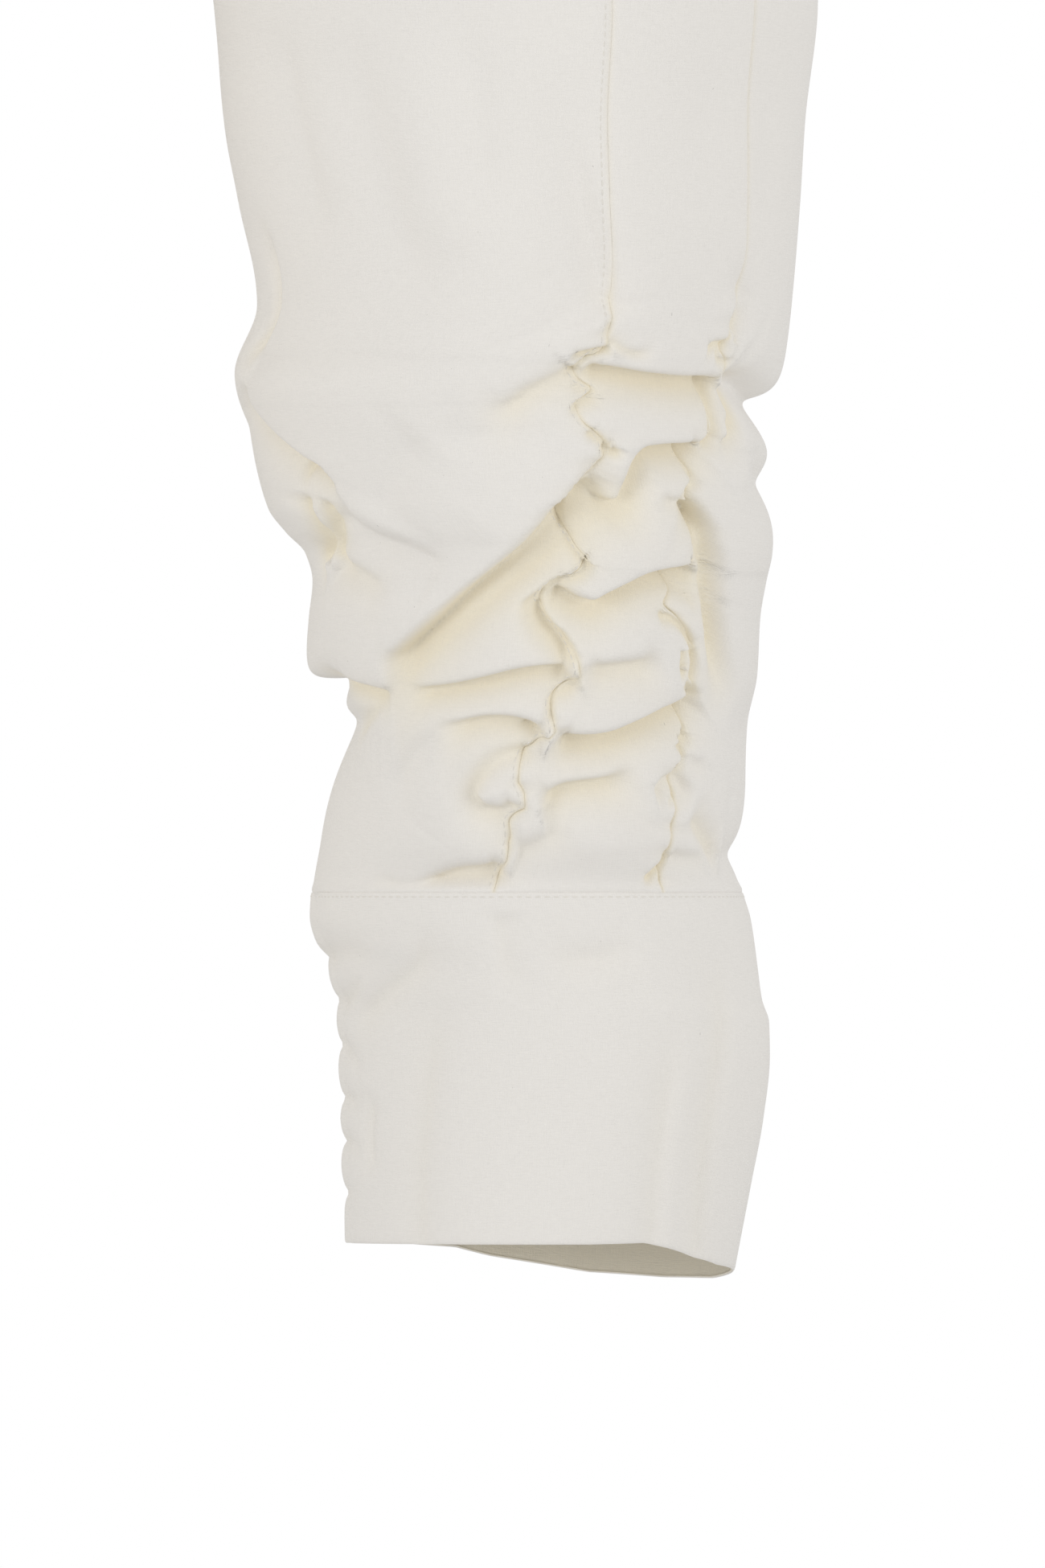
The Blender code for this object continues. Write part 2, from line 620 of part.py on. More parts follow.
def main():
    clear_scene()
    collection = bpy.data.collections.new("cargo_capri_pants")
    bpy.context.scene.collection.children.link(collection)
    cloth = material("cream_cotton", *CLOTH_FINISH)
    cream = material("cream_button", *BUTTON_FINISH)
    rows = panel_rows()
    panels = {piece: panel_points(piece) for piece in ("front", "side", "back")}
    cuff = cuff_points()
    start = SIDE_COLUMNS - POCKET_SIDE_COLUMNS
    pocket_panel = [
        np.concatenate([side[:, start:-1], back[:, : POCKET_BACK_COLUMNS + 1]], axis=1)
        for side, back in zip(panels["side"][::2], panels["back"][::2])
    ]
    pocket, flap, flap_heights = pocket_walls(pocket_panel, rows)
    for side, hand in ((1, "left"), (-1, "right")):
        for piece, (outer, inner, _) in panels.items():
            add_wall(f"{piece}_{hand}", outer, inner, side, cloth, collection)
        add_wall(f"cuff_{hand}", *cuff, side, cloth, collection)
        add_wall(f"pocket_{hand}", *pocket, side, cloth, collection)
        add_wall(f"pocket_flap_{hand}", *flap, side, cloth, collection)
        place, normal = flap_button_place(flap, flap_heights, side)
        add_button(f"flap_button_{hand}", place, normal, FLAP_BUTTON_DIAMETER, cream, collection)
    add_wall("fly", *fly_walls(panels["front"][::2], rows), 1, cloth, collection)
    outer, inner = waistband_points()
    add_wall("waistband", outer, inner, 1, cloth, collection)
    forward = Vector((0, -1, 0))
    place = Vector((outer[0, 1] + outer[1, 1]) / 2) + forward * (BUTTON_THICKNESS / 2 + 2 * SEAM_GAP)
    add_button("waist_button", place, forward, WAIST_BUTTON_DIAMETER, cream, collection)


main()
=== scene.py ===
"""Cargo capri pants: the cloth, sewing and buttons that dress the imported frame, and a stage.

Metres, +Z up. The front faces -Y and the wearer's left is at +X. Every cut piece is a thin sheet that is
laid over one leg surface, which has the form of the solids with its folds drawn finer. Tables are in
millimetres and degrees: "up" is the height above the front hem, and an angle turns round the left leg
from the front (0) towards the outside (90), the back (180) and the inseam (270, which is also -90).
"""

import math
from collections import namedtuple

import bpy
import numpy as np
from bpy.props import FloatProperty, FloatVectorProperty, PointerProperty
from mathutils import Matrix, Vector


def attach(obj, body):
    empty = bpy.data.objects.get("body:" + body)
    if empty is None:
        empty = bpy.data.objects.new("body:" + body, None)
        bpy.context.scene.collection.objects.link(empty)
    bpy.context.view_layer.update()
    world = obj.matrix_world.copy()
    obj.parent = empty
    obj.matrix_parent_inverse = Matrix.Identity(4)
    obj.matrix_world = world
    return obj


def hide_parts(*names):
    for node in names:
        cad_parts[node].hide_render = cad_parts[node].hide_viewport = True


bl_info = {
    "name": "Cargo Capri Pants",
    "version": (1, 0, 0),
    "blender": (4, 5, 0),
    "location": "3D View > Sidebar > Capri",
    "description": "Dresses the frame of a pair of cargo capri pants with cloth, sewing and buttons",
    "category": "Object",
}

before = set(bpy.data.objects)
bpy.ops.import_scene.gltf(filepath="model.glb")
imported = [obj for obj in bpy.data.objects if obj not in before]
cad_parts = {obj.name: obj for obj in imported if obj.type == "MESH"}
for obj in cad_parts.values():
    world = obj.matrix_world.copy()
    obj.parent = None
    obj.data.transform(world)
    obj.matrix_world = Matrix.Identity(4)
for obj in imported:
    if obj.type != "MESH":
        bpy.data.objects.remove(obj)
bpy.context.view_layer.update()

MM = 0.001

# The garment's sizes, in metres
HEM_Z = -0.800
WAISTBAND_HEIGHT = 0.040
CUFF_HEIGHT = 0.102
CROTCH_UP = 0.530
FLY_LENGTH = 0.137
POCKET_PUFF = 0.007

# How far a fold's cloth rides up under the roll above it, as a share of its depth
DROOP = 0.55
# How soft the bottom of a fold or crease is, in millimetres
FOLD_ROUNDING = 1.2
CREASE_ROUNDING = 0.5
# The power of a flank's fall, and how many reaches far it is followed
FLANK_POWER = 1.25
FLANK_REACHES = 7.0
# How much wider a fold's flanks get where it fades out
FADE_SPREAD = 1.6
# Arc length of one degree at the leg's mean radius, in millimetres
DEGREE_LENGTH = 1.3
# Straight steps between two places of a fold's line
LINE_STEPS = 7
# Over how many millimetres beyond the nearest step a line's other steps still count
LINE_BLEND = 0.3
# Folds grow from nothing at the cuff seam over this height, and fade out from this height up to the
# waistband, in millimetres
CUFF_EASE = 3.0
WAIST_EASE_UP = 740.0
# Above the crotch, folds also fade towards the centre seam over this many degrees
CENTRE_HEIGHTS = (515.0, 530.0)
CENTRE_SPREAD = 10.0
# Each side seam lies in a groove, deeper where the seam is gathered, in millimetres. The gathers end
# between two heights.
SEAM_GROOVE = 0.25
GATHERED_GROOVE = 0.9
SEAM_REACH = 2.2
GATHERS_FADE_UP = (255.0, 285.0)
# The stitched line itself is a finer groove, and small puckers run off it at a pitch that drifts. They
# are out of step on the two seams, and on the two sides of a seam.
STITCH_GROOVE = 0.3
STITCH_REACH = 0.8
PUCKER_DEPTH = 0.7
PUCKER_PITCH = 8.6
PUCKER_REACH = 5.0
PUCKER_DRIFT = 0.9
PUCKER_DRIFT_LENGTH = 11
PUCKER_PHASES = {"front": 0.0, "back": 1.7}
PUCKER_SIDE_PHASE = 0.5
# How much painted warm shade a gathered seam, a plain seam and the cuff's inside take, and how far a seam's
# reaches
SEAM_PAINTED_SHADE = 0.8
PLAIN_SEAM_PAINTED_SHADE = 0.35
INNER_CUFF_PAINTED_SHADE = 1.0
SEAM_PAINTED_SHADE_REACH = 0.9
# Depths at which a fold, a crease and a crease of the cuff take their full painted warm shade, in
# millimetres
FOLD_PAINTED_SHADE_DEPTH = 6.5
CREASE_PAINTED_SHADE_DEPTH = 2.8
CUFF_PAINTED_SHADE_DEPTH = 9
# Folds with a flank shorter than this are crisp enough to take the painted warm shade
CRISP_REACH = 3.5
# The angle of the inseam
INSEAM = -90.0
# The inner side steps in sharply under the knee. Between these angles and below this height, the leg takes
# its mean over these steps of height, so that the step fades out round the back.
STEADY_STEPS = (-16, -8, 0, 8, 16)
STEADY_FROM = (15, 50)
STEADY_TO = (200, 250)
STEADY_UP = (280, 340)


def rows_of(kind, rows):
    """A table whose rows are all of one kind."""
    return [kind(*row) for row in rows]


# The leg's outer section at each height: its inner and outer side (X) and its front and back (Y)
Section = namedtuple("Section", "up inner outer front back")
SECTIONS = rows_of(Section, [
    (0, 70.6, 183.4, -51, 56), (7, 70.4, 184.8, -51.5, 56.5), (24, 69.4, 188.3, -52.5, 57.5),
    (41, 69.0, 191.7, -53.5, 58.5), (58, 68.3, 193.6, -54.7, 59.7), (67, 67.9, 193.4, -55.4, 60.4),
    (73, 66.8, 191.4, -55.9, 60.9), (81, 65.0, 190.2, -56.6, 61.5), (88, 61.8, 189.2, -57.3, 62.2),
    (95, 60.4, 188.0, -58, 63), (104, 61.0, 185.6, -59, 64), (116, 62.0, 186.3, -66, 70),
    (139, 61.0, 186.8, -73, 77), (150, 60.2, 187.2, -75.6, 79), (165, 58.8, 190.0, -79, 82),
    (181, 60.0, 190.8, -81.7, 84.6), (192, 61.2, 192.6, -83, 86), (200, 59.2, 194.4, -84, 87),
    (206, 53.6, 194.9, -84.5, 87.5), (213, 48.4, 195.0, -85, 88), (235, 42.6, 195.5, -87, 89),
    (252, 38.7, 197.6, -88, 90), (272, 45.2, 199.9, -89, 91), (302, 39.7, 202.4, -90, 92),
    (325, 35.5, 203.8, -90, 92), (360, 32.5, 207.5, -91, 93), (440, 18.0, 206.0, -95, 99),
    (500, 6.0, 199.0, -97, 105), (530, 0.0, 195.0, -99, 109), (545, -12.0, 193.5, -101, 112),
    (560, -38.0, 192.0, -104, 115), (580, -78.0, 190.5, -108, 120), (610, -130.0, 187.0, -115, 128),
    (650, -178.0, 182.5, -119, 133), (700, -168.0, 168.0, -113, 122), (780, -140.0, 140.0, -98, 104),
])

# The two seams of the side panel, which the gathers pull to and fro
Seams = namedtuple("Seams", "up front back")
SEAMS = rows_of(Seams, [
    (102, -9, 39), (107, -7.5, 39), (111, -6, 40), (114.4, -6, 41.5), (117, -5.5, 42), (120.5, -6, 42.4),
    (123.3, -4.2, 43), (125.5, -1.3, 44), (129, -1.5, 44), (133, -3, 43.5), (136.5, -2.8, 44.5),
    (140, -1.5, 47), (143, 2, 47.5), (147.5, 7.2, 49.5), (152.4, 6.3, 49), (155.3, 6, 49.5), (158, 8, 50.3),
    (160.5, 12, 49), (163, 13, 47.7), (166, 12.8, 48), (169, 11.8, 48.2), (172, 10, 47.5), (174.6, 8, 46),
    (177, 5, 44.5), (180, 2.6, 41.5), (183, 1.2, 38), (187, 2.5, 41), (190, 6.5, 40), (192.7, 11.5, 41.5),
    (195, 13, 46.5), (198, 10.2, 47.4), (201, 8.3, 47.4), (204, 7, 47.5), (207, 7.4, 47.4),
    (211, 9.5, 45.5), (214, 11.8, 43.4), (217, 14, 43.4), (220, 16.3, 45.5), (224, 19, 44.2),
    (227, 20.6, 44.4), (230, 20.8, 48.5), (233.3, 18.6, 50.4), (237, 15.6, 50.3), (240.6, 14.6, 50.8),
    (243.6, 19.2, 50.2), (246.5, 16, 51.5), (250, 14.5, 54), (253, 15, 54), (257, 20.5, 51),
    (262, 20, 52.5), (272, 20, 55.5), (302, 19, 55), (360, 18.6, 52.5), (440, 22, 62), (500, 26.5, 69),
    (530, 30, 73), (545, 36, 77), (570, 42, 82), (610, 49, 88), (645, 52, 90), (780, 52, 90),
])

# Folds: places along each (angle, up) where the eye sees its line, from left to right or upwards, how
# deep it is, how far its flanks reach above (or to the left) and below (or to the right) of its line, and
# the share of its length over which it fades in and out
Fold = namedtuple("Fold", "line depth above below fade_in fade_out")
FRONT_FOLDS = rows_of(Fold, [
    (((-46, 164), (-38, 171), (-28.5, 179.3), (-17.3, 190), (-3.5, 201.6), (7.4, 210.7), (14, 217),
     (19.3, 223.7), (21, 228)), 10, 1.9, 10.5, 0.14, 0.14),
    (((-33, 166), (-26, 172), (-15, 183), (-3, 194.5), (6.5, 203), (12, 209), (16, 216)),
     5, 3.6, 3.6, 0.3, 0.3),
    (((-130, 162), (-90, 162.5), (-72, 162.6), (-50, 160)), 12, 4, 9, 0.1, 0.45),
    (((-84, 162.6), (-72, 162.6), (-58.5, 160.8), (-50, 159.6), (-34, 157.4)), 7, 2, 4, 0.4, 0.3),
    (((-130, 151), (-90, 151), (-55, 151), (-20, 150)), 13, 10, 15, 0.25, 0.6),
    (((-74, 141), (-62, 147), (-54, 151.5), (-47, 155), (-41, 157)), 4.5, 4, 1.8, 0.4, 0.35),
    (((-42, 157.2), (-31, 159.5), (-20.5, 161.2), (-10, 163.7), (-4, 165.3), (5, 166.2), (12, 164.6)),
     7, 1.7, 4.8, 0.25, 0.06),
    (((-32, 145), (-22, 149.5), (-10, 152), (-4, 151.6), (0, 150.4), (4, 147.3), (6, 145)),
     6.2, 1.8, 6, 0.4, 0.15),
    (((-44, 116), (-43, 127), (-37, 138), (-28, 146), (-16, 150)), 3.6, 6, 8, 0.4, 0.4),
    (((2, 142.4), (-4, 142), (-9, 140), (-14, 135.5), (-16, 131), (-14, 127.5), (-8.6, 125.6), (-2, 125)),
     4.5, 2, 5, 0.1, 0.2),
    (((-52, 103), (-38, 103.2), (-30.5, 104), (-24.5, 106.8), (-20, 108.3), (-12, 109.2), (-6, 111)),
     4.6, 1.8, 4, 0.4, 0.1),
    (((-12, 237), (0, 241.6), (4, 245.5), (8.5, 248.5), (15, 252.5)), 4.6, 3, 5, 0.5, 0.05),
    (((-30, 235), (-12, 233), (4, 234), (17, 237)), 2.8, 7, 8, 0.5, 0.3),
    (((-80, 255), (-62.5, 257.7), (-50, 257.7), (-41, 257.5), (-25, 256), (0, 256)), 4.6, 8, 4, 0.1, 0.6),
    (((-82, 252), (-76, 258), (-71, 264), (-69, 274), (-71, 305)), 4, 2.4, 1.6, 0.2, 0.6),
    (((-82, 250), (-78, 244), (-67.5, 234.5), (-61, 230), (-56.5, 227), (-52, 224), (-48.5, 221)),
     5, 1.3, 7, 0.15, 0.05),
    (((-51, 213), (-45.7, 205.5), (-36, 200.6), (-28, 196), (-24, 190)), 4.4, 4, 7, 0.1, 0.3),
    (((-65, 197.5), (-53, 193.3), (-46, 189.8), (-38, 185)), 3.2, 3, 5, 0.1, 0.5),
    (((19, 266), (15.5, 290), (12, 311), (7, 345)), 6, 13, 3.5, 0.1, 0.6),
    (((-20, 262), (-27, 290), (-31, 325), (-36, 358)), 4.4, 13, 9, 0.3, 0.3),
    (((-8, 290), (-8, 334), (-14, 366)), 3.2, 11, 8, 0.3, 0.4),
    (((-48, 280), (-50, 320), (-55, 360)), 3.6, 10, 8, 0.3, 0.3),
    (((-38, 205), (-30, 222), (-18, 236)), 3.0, 9, 10, 0.3, 0.3),
    (((-34, 180), (-22, 196), (-8, 210)), 1.4, 10, 7, 0.4, 0.4),
    (((-1, 284), (7, 276), (15, 268)), 2.0, 5, 5, 0.4, 0.3),
    (((-1, 188), (0.4, 183.5), (2.5, 179.5), (6, 175.5), (9, 171.5), (11.5, 167)), 5, 1.8, 4, 0.3, 0.2),
])
SIDE_FOLDS = rows_of(Fold, [
    (((15, 253.2), (21.5, 252.5), (30.5, 250.8), (40, 249.8), (48.5, 249.6), (55, 248.2)),
     8, 1.7, 5.5, 0.12, 0.1),
    (((15, 219.5), (17.2, 215.8), (20.2, 213.4), (22.5, 212.9), (24.8, 214), (27, 219.3), (28.3, 223.4),
     (29.8, 226.9), (31.7, 229.2), (34.3, 229.8), (43, 230.5), (49, 231)), 8, 1.7, 5.5, 0.15, 0.12),
    (((33, 216.5), (37.2, 214.4), (40, 213.8), (44, 212.8)), 3.4, 1.6, 4, 0.4, 0.2),
    (((2, 188.6), (8, 187.6), (12, 185.8), (16, 185.2), (20.2, 187.5), (25.3, 190.3), (30, 192.7),
     (36, 194.2), (41.5, 194.8), (47, 195.2)), 9, 1.8, 6, 0.1, 0.04),
    (((12, 165.3), (20, 166.5), (28, 167.5), (38, 169.4)), 5, 2.6, 7, 0.3, 0.3),
    (((6.5, 147.5), (14, 146.5), (23, 147.4), (31, 150.4), (39.6, 154.2), (44.3, 156.2), (51, 159)),
     9, 1.8, 5.5, 0.12, 0.08),
    (((1, 125.3), (4, 128.8), (9.5, 132.3), (14.5, 133.2), (21, 134), (28, 135.6), (36, 137.4)),
     6.5, 2.2, 6, 0.2, 0.4),
    (((36, 128.5), (37.5, 131.4), (39.8, 134.2), (43, 134.8), (46.3, 134.2), (47.6, 132), (48.2, 128.7),
     (49.5, 125.5)), 3.6, 1.8, 2.6, 0.15, 0.35),
    (((-4, 112.5), (2.5, 116), (8.5, 119.4), (15, 122.3)), 2.4, 3, 5, 0.1, 0.5),
    (((40, 290), (42, 325), (41, 362)), 1.4, 14, 12, 0.4, 0.5),
])
BACK_FOLDS = rows_of(Fold, [
    (((52, 253), (58, 251), (68, 248), (80, 243.8), (95, 243.5), (120, 249), (150, 258)),
     10, 6, 5.5, 0.1, 0.4),
    (((49, 284), (57, 272), (55, 261)), 2.5, 4, 3.6, 0.4, 0.1),
    (((49, 231), (56, 231.5), (66, 232)), 3, 2, 4, 0, 0.6),
    (((60, 228), (74, 223), (92, 220), (130, 225), (165, 236)), 5.6, 9, 5, 0.2, 0.3),
    (((37, 214.5), (43, 213.4), (46, 211.5), (49, 206.6), (52, 199), (54.5, 191.5), (57, 182), (60, 170),
     (64, 158), (68, 148)), 7.5, 2.2, 6, 0.15, 0.4),
    (((48, 126), (53, 122.2), (57.5, 118), (60.5, 115.3), (65, 112)), 4.2, 5, 2.6, 0.35, 0.25),
    (((62, 113), (76, 112.5), (92, 113), (112, 114), (150, 118), (215, 112)), 4.6, 8, 4, 0.06, 0.4),
    (((48.3, 141.3), (50.5, 139.7), (58, 139)), 1.8, 1.6, 3.5, 0.1, 0.5),
    (((42, 112), (50, 111.6), (58, 112)), 1.8, 2, 4, 0.1, 0.3),
    (((64, 160), (72, 150), (80, 148), (95, 150)), 1.5, 6, 5, 0.4, 0.4),
    (((60, 346), (62, 309), (63, 283)), 1.0, 6, 6, 0.4, 0.4),
    (((102, 190), (125, 184), (160, 192), (190, 206)), 7, 3, 9, 0.3, 0.4),
    (((98, 154), (120, 150), (150, 156), (175, 164)), 6, 3, 8, 0.3, 0.4),
    (((140, 226), (180, 214), (225, 218), (262, 233)), 8, 3, 10, 0.35, 0.3),
    (((120, 143), (150, 136), (190, 136), (250, 150)), 7.5, 3, 9, 0.3, 0.3),
    (((165, 188), (200, 178), (235, 178), (252, 172)), 9, 3, 10, 0.35, 0.15),
    (((200, 130), (235, 124), (266, 131)), 5, 2.5, 7, 0.3, 0.3),
    (((100, 168), (125, 174), (160, 172)), 4, 2.4, 6, 0.35, 0.4),
    (((100, 204), (128, 208), (166, 202)), 4, 2.4, 7, 0.35, 0.4),
    (((190, 240), (222, 248), (258, 243)), 3.6, 2.4, 6, 0.3, 0.3),
    (((112, 268), (150, 276), (200, 268)), 3, 4, 8, 0.4, 0.4),
    (((205, 161), (232, 158), (262, 153)), 4, 2.2, 6, 0.3, 0.2),
    (((120, 302), (180, 286), (240, 298)), 4, 9, 14, 0.4, 0.4),
    (((110, 470), (180, 486), (255, 514)), 4, 10, 16, 0.4, 0.4),
    (((212, 246), (236, 252), (258, 266)), 2.4, 3, 5, 0.5, 0.1),
    (((216, 330), (240, 320), (262, 300)), 2, 7, 8, 0.5, 0.2),
    (((140, 340), (150, 380), (146, 430)), 1.8, 9, 9, 0.4, 0.4),
    (((200, 330), (208, 372), (204, 420)), 1.6, 9, 9, 0.4, 0.4),
    (((-84, 538), (-52, 554), (-18, 568)), 3.2, 4, 8, 0.05, 0.6),
    (((-86, 521), (-58, 525), (-28, 521)), 2.4, 4, 8, 0.05, 0.6),
    (((-80, 562), (-60, 586), (-36, 614)), 2.4, 5, 7, 0.1, 0.6),
    (((196, 532), (232, 522), (264, 526)), 3.4, 4, 8, 0.6, 0.05),
    (((206, 562), (236, 553), (262, 541)), 2.6, 5, 7, 0.6, 0.1),
    (((64, 470), (66, 520), (60, 560)), 1.6, 8, 8, 0.4, 0.4),
    (((-20, 470), (-14, 520), (-8, 580)), 1.6, 9, 9, 0.5, 0.4),
    (((30, 590), (40, 620), (52, 640)), 1.4, 8, 8, 0.4, 0.4),
    (((120, 600), (134, 640), (140, 700)), 1.4, 10, 10, 0.4, 0.4),
])
FOLDS = FRONT_FOLDS + SIDE_FOLDS + BACK_FOLDS
# Only these crisp folds take the painted warm shade
CRISP_FOLDS = [fold for fold in FOLDS if min(fold.above, fold.below) < CRISP_REACH]

# Creases are drawn as folds are, only finer, and add to them
CREASES = rows_of(Fold, [
    (((12, 256), (15, 257.2), (17.7, 257.9), (20.5, 258.4)), 3.1, 1.2, 1.0, 0.3, 0),
    (((14.3, 248.5), (14.2, 251), (14.8, 253), (16, 254.6), (18, 256.2)), 2.4, 1.6, 1.2, 0.25, 0.1),
    (((18.8, 262), (19.5, 264.5), (19.2, 268)), 1.4, 0.8, 0.8, 0.1, 0.5),
    (((21.5, 260), (25, 257.6), (33, 256.6)), 1.9, 1.6, 1.0, 0, 0.5),
    (((14.2, 240.6), (16.7, 242.2), (19.7, 243.6)), 2.7, 1.0, 1.4, 0, 0.2),
    (((14.6, 245.8), (17, 244.9), (19.5, 243.9)), 1.5, 0.9, 0.9, 0.1, 0.1),
    (((17, 234.6), (18.8, 233.3), (20.2, 231.8), (21, 229.7)), 3.1, 1.4, 1.2, 0.1, 0.1),
    (((20.8, 230), (22.3, 229.2), (24.2, 229.8)), 3.4, 1.5, 1.5, 0.1, 0.3),
    (((43, 215), (43, 217), (45.6, 220), (44.3, 222.8), (44, 226.3), (47.5, 229.6)),
     2.7, 1.2, 1.2, 0.1, 0.1),
    (((49, 231), (51.5, 232.6), (52.5, 236), (52.4, 240), (52, 244), (51, 248)), 3.8, 1.5, 1.8, 0.1, 0.1),
    (((56, 233), (59, 236), (61.5, 240), (60.5, 244), (58.5, 248.5)), 4.4, 2.2, 2.2, 0.2, 0.25),
    (((43.6, 212.9), (46, 210.1), (47.5, 206.6), (47.5, 203.1), (47.2, 199)), 3.2, 1.2, 2, 0.05, 0.2),
    (((43.6, 194.9), (45.6, 196.2), (47.2, 198)), 2.5, 1.2, 1.2, 0.1, 0.1),
    (((39.3, 190.6), (40, 192.5), (42.5, 193.5), (45.5, 194)), 2.4, 1.2, 1.0, 0.2, 0.1),
    (((39.6, 191), (42.5, 188.5), (46.5, 186), (49.5, 181)), 2.2, 1.4, 1.6, 0.1, 0.4),
    (((36, 183), (36.6, 181.4), (39, 181), (42, 179.5), (44.5, 177), (47.6, 171.5)),
     3.4, 1.4, 1.3, 0.1, 0.1),
    (((43, 171.8), (42.8, 168.5), (44, 165.2)), 3.2, 3, 1.1, 0.1, 0.1),
    (((47.6, 171.8), (48.1, 168), (47.8, 164)), 3.4, 1.1, 2.6, 0.1, 0.1),
    (((44.4, 162.6), (48, 161), (50.7, 158.9)), 3.2, 1.3, 1.3, 0.2, 0),
    (((46, 143.8), (47.8, 145.3), (49.8, 146.6)), 3.1, 1.3, 1.2, 0.1, 0.1),
    (((45.9, 144.2), (47, 142), (46.6, 138.5), (44.3, 136)), 2.0, 1, 1, 0.1, 0.1),
    (((7.6, 201.4), (10.3, 197.8), (13.2, 195)), 3.2, 1.2, 2, 0.1, 0.05),
    (((8.6, 191.2), (12.3, 193.2), (13.2, 195)), 3.1, 1.5, 1.2, 0.1, 0.05),
    (((-5.5, 177.5), (-3.2, 181.5), (-1, 184.8), (1.5, 187), (4.5, 189.8), (9, 191.3)),
     3.6, 1.5, 2.6, 0.4, 0.1),
    (((6.8, 203), (7.3, 206.5), (9.6, 212)), 2.7, 1.4, 1.1, 0.1, 0.1),
    (((0.8, 185.2), (1.2, 182), (5.2, 176.8), (8, 174.6), (10.3, 171.7), (13, 165.8)),
     3.6, 1.2, 4.4, 0.1, 0.2),
    (((13, 165.8), (13, 163), (12, 160.5), (10, 159), (7, 157.8), (6, 155.3), (6.3, 152.4), (8, 147.6)),
     2.6, 1.3, 1.8, 0.2, 0.25),
    (((-1, 148.8), (2, 147.3), (4.8, 145.8)), 1.8, 1, 1.5, 0.1, 0.1),
    (((-8, 127.3), (-3.3, 126.3), (-1, 125.4)), 2.0, 1.4, 1.4, 0.4, 0.3),
    (((32, 103.2), (33.7, 105.5), (36.7, 108.5), (39.5, 110.7), (41.3, 114)), 3.4, 1.2, 1.2, 0.4, 0.1),
    (((40.6, 127.5), (43.4, 129), (44.6, 131.8)), 1.7, 0.9, 0.9, 0.2, 0.3),
    (((45, 257.8), (47.5, 260), (50.8, 260.4)), 2.7, 1.4, 1.6, 0.3, 0),
    (((49.6, 259), (50, 256), (52.2, 255.2), (58, 254.4)), 2.4, 1.2, 1.6, 0.1, 0.5),
    (((55, 259), (55.6, 264), (56.4, 272)), 2.4, 1.3, 1.3, 0.2, 0.5),
    (((-61, 220), (-57, 224.3), (-53, 224.6), (-49.5, 222.3), (-48.2, 219.5), (-49, 216.5)),
     3.2, 1.2, 1.2, 0.2, 0.2),
    (((-60, 217), (-60.5, 211), (-65, 204), (-71, 198.5), (-69, 196)), 4.4, 1.6, 3.2, 0.1, 0.2),
    (((-53.3, 215), (-56, 208.8), (-62.6, 201.9), (-64.2, 196.7)), 4.0, 3.2, 1.6, 0.1, 0.2),
])
CUFF_CREASES = rows_of(Fold, [
    (((-72, 62), (-50, 74), (-36, 82), (-24, 95)), 2.2, 2.5, 6, 0.3, 0.3),
    (((-12, 66), (-10, 82), (-8, 97)), 1.5, 2, 6, 0.6, 0.1),
    (((-4, 84), (14, 84), (32, 88)), 1.8, 4, 7, 0.4, 0.4),
    (((56, -6), (50, 46), (58, 93)), 2.4, 9, 4, 0.1, 0.3),
    (((36, -6), (33, 34), (35, 74)), 2.0, 8, 4, 0.1, 0.4),
    (((-38, -6), (-38, 27), (-35, 54), (-28, 84)), 2.0, 8, 5, 0.1, 0.4),
    (((-58, 18), (-60, 34), (-57, 46)), 1.8, 5, 4, 0.3, 0.3),
    (((-77, 71), (-64, 75), (-55, 80)), 2.0, 2.5, 3, 0, 0.6),
    (((-80, 86), (-57, 86), (-41, 84)), 1.8, 4, 4, 0, 0.6),
    (((-77, 57), (-67, 53.5), (-60, 48)), 1.6, 3, 3, 0, 0.6),
    (((-77, 43), (-68, 41), (-60, 40)), 1.3, 3, 3, 0, 0.6),
    (((-77, 29), (-68, 28), (-60, 26)), 1.3, 3, 3, 0, 0.6),
    (((120, -10), (124, 60), (120, 96)), 2.0, 10, 7, 0.1, 0.3),
    (((170, -10), (172, 50), (165, 92)), 1.8, 9, 7, 0.1, 0.3),
    (((222, 20), (210, 60), (214, 95)), 2.0, 8, 6, 0.5, 0.3),
    (((232, 30), (236, 60), (250, 80)), 1.4, 7, 6, 0.5, 0.2),
])

# How far the hem hangs below the front hem, in millimetres, at each angle
HemDrop = namedtuple("HemDrop", "angle drop")
HEM_DROPS = rows_of(HemDrop, [
    (-90, -0.6), (15, -0.6), (34, -1.0), (54, 3.1), (66, 5.5), (90, 7.5), (114, 9.9), (140, 9.9),
    (165, 8.5), (186, 5.2), (195, 3.8), (206, 1.2), (235, -0.6), (300, -0.6),
])

# The cuff laps at the inseam, and tacks pull the lap in at even steps
TACKS_UP = (14.7, 29.8, 42.3, 57.7, 70.9, 83.3)
TACK_DEPTH = 2.1
TACK_REACH = 2.4
TACK_SPREAD = 15.0
LAP_EDGE_ANGLE = -76.0
LAP_UNDER_ANGLE = 296.0
LAP_STEP_START = 272.5
LAP_STEP_END = 282.5
LAP_STEP = 0.0021

# The waistband runs between two angles and steps inside its own lap between two more
BAND_START = -9.0
BAND_END = 367.0
BAND_STEP_START = 343.0
BAND_STEP_END = 350.0
BAND_STEP = 0.0033
BAND_CLOTH = 0.0026
BAND_LEAN = 0.0008

# The cloth of each kind of sheet. The patches lie a little off the panels.
PANEL_CLOTH = 0.0004
CUFF_CLOTH = 0.0009
PATCH_CLOTH = 0.0010
PATCH_CLEAR = 0.0001

# Heights of the cargo pocket and its flap, in millimetres
POCKET_BOTTOM_UP = 383.0
POCKET_TOP_UP = 529.0
FLAP_BOTTOM_UP = 488.0
FLAP_TOP_UP = 543.0
FLAP_POINT = 9.0
FLAP_CLEAR = 0.0008
FLAP_BUTTON_UP = 496.0
FLAP_SEWN_ABOVE = 3
FLAP_SEWN_BELOW = 1
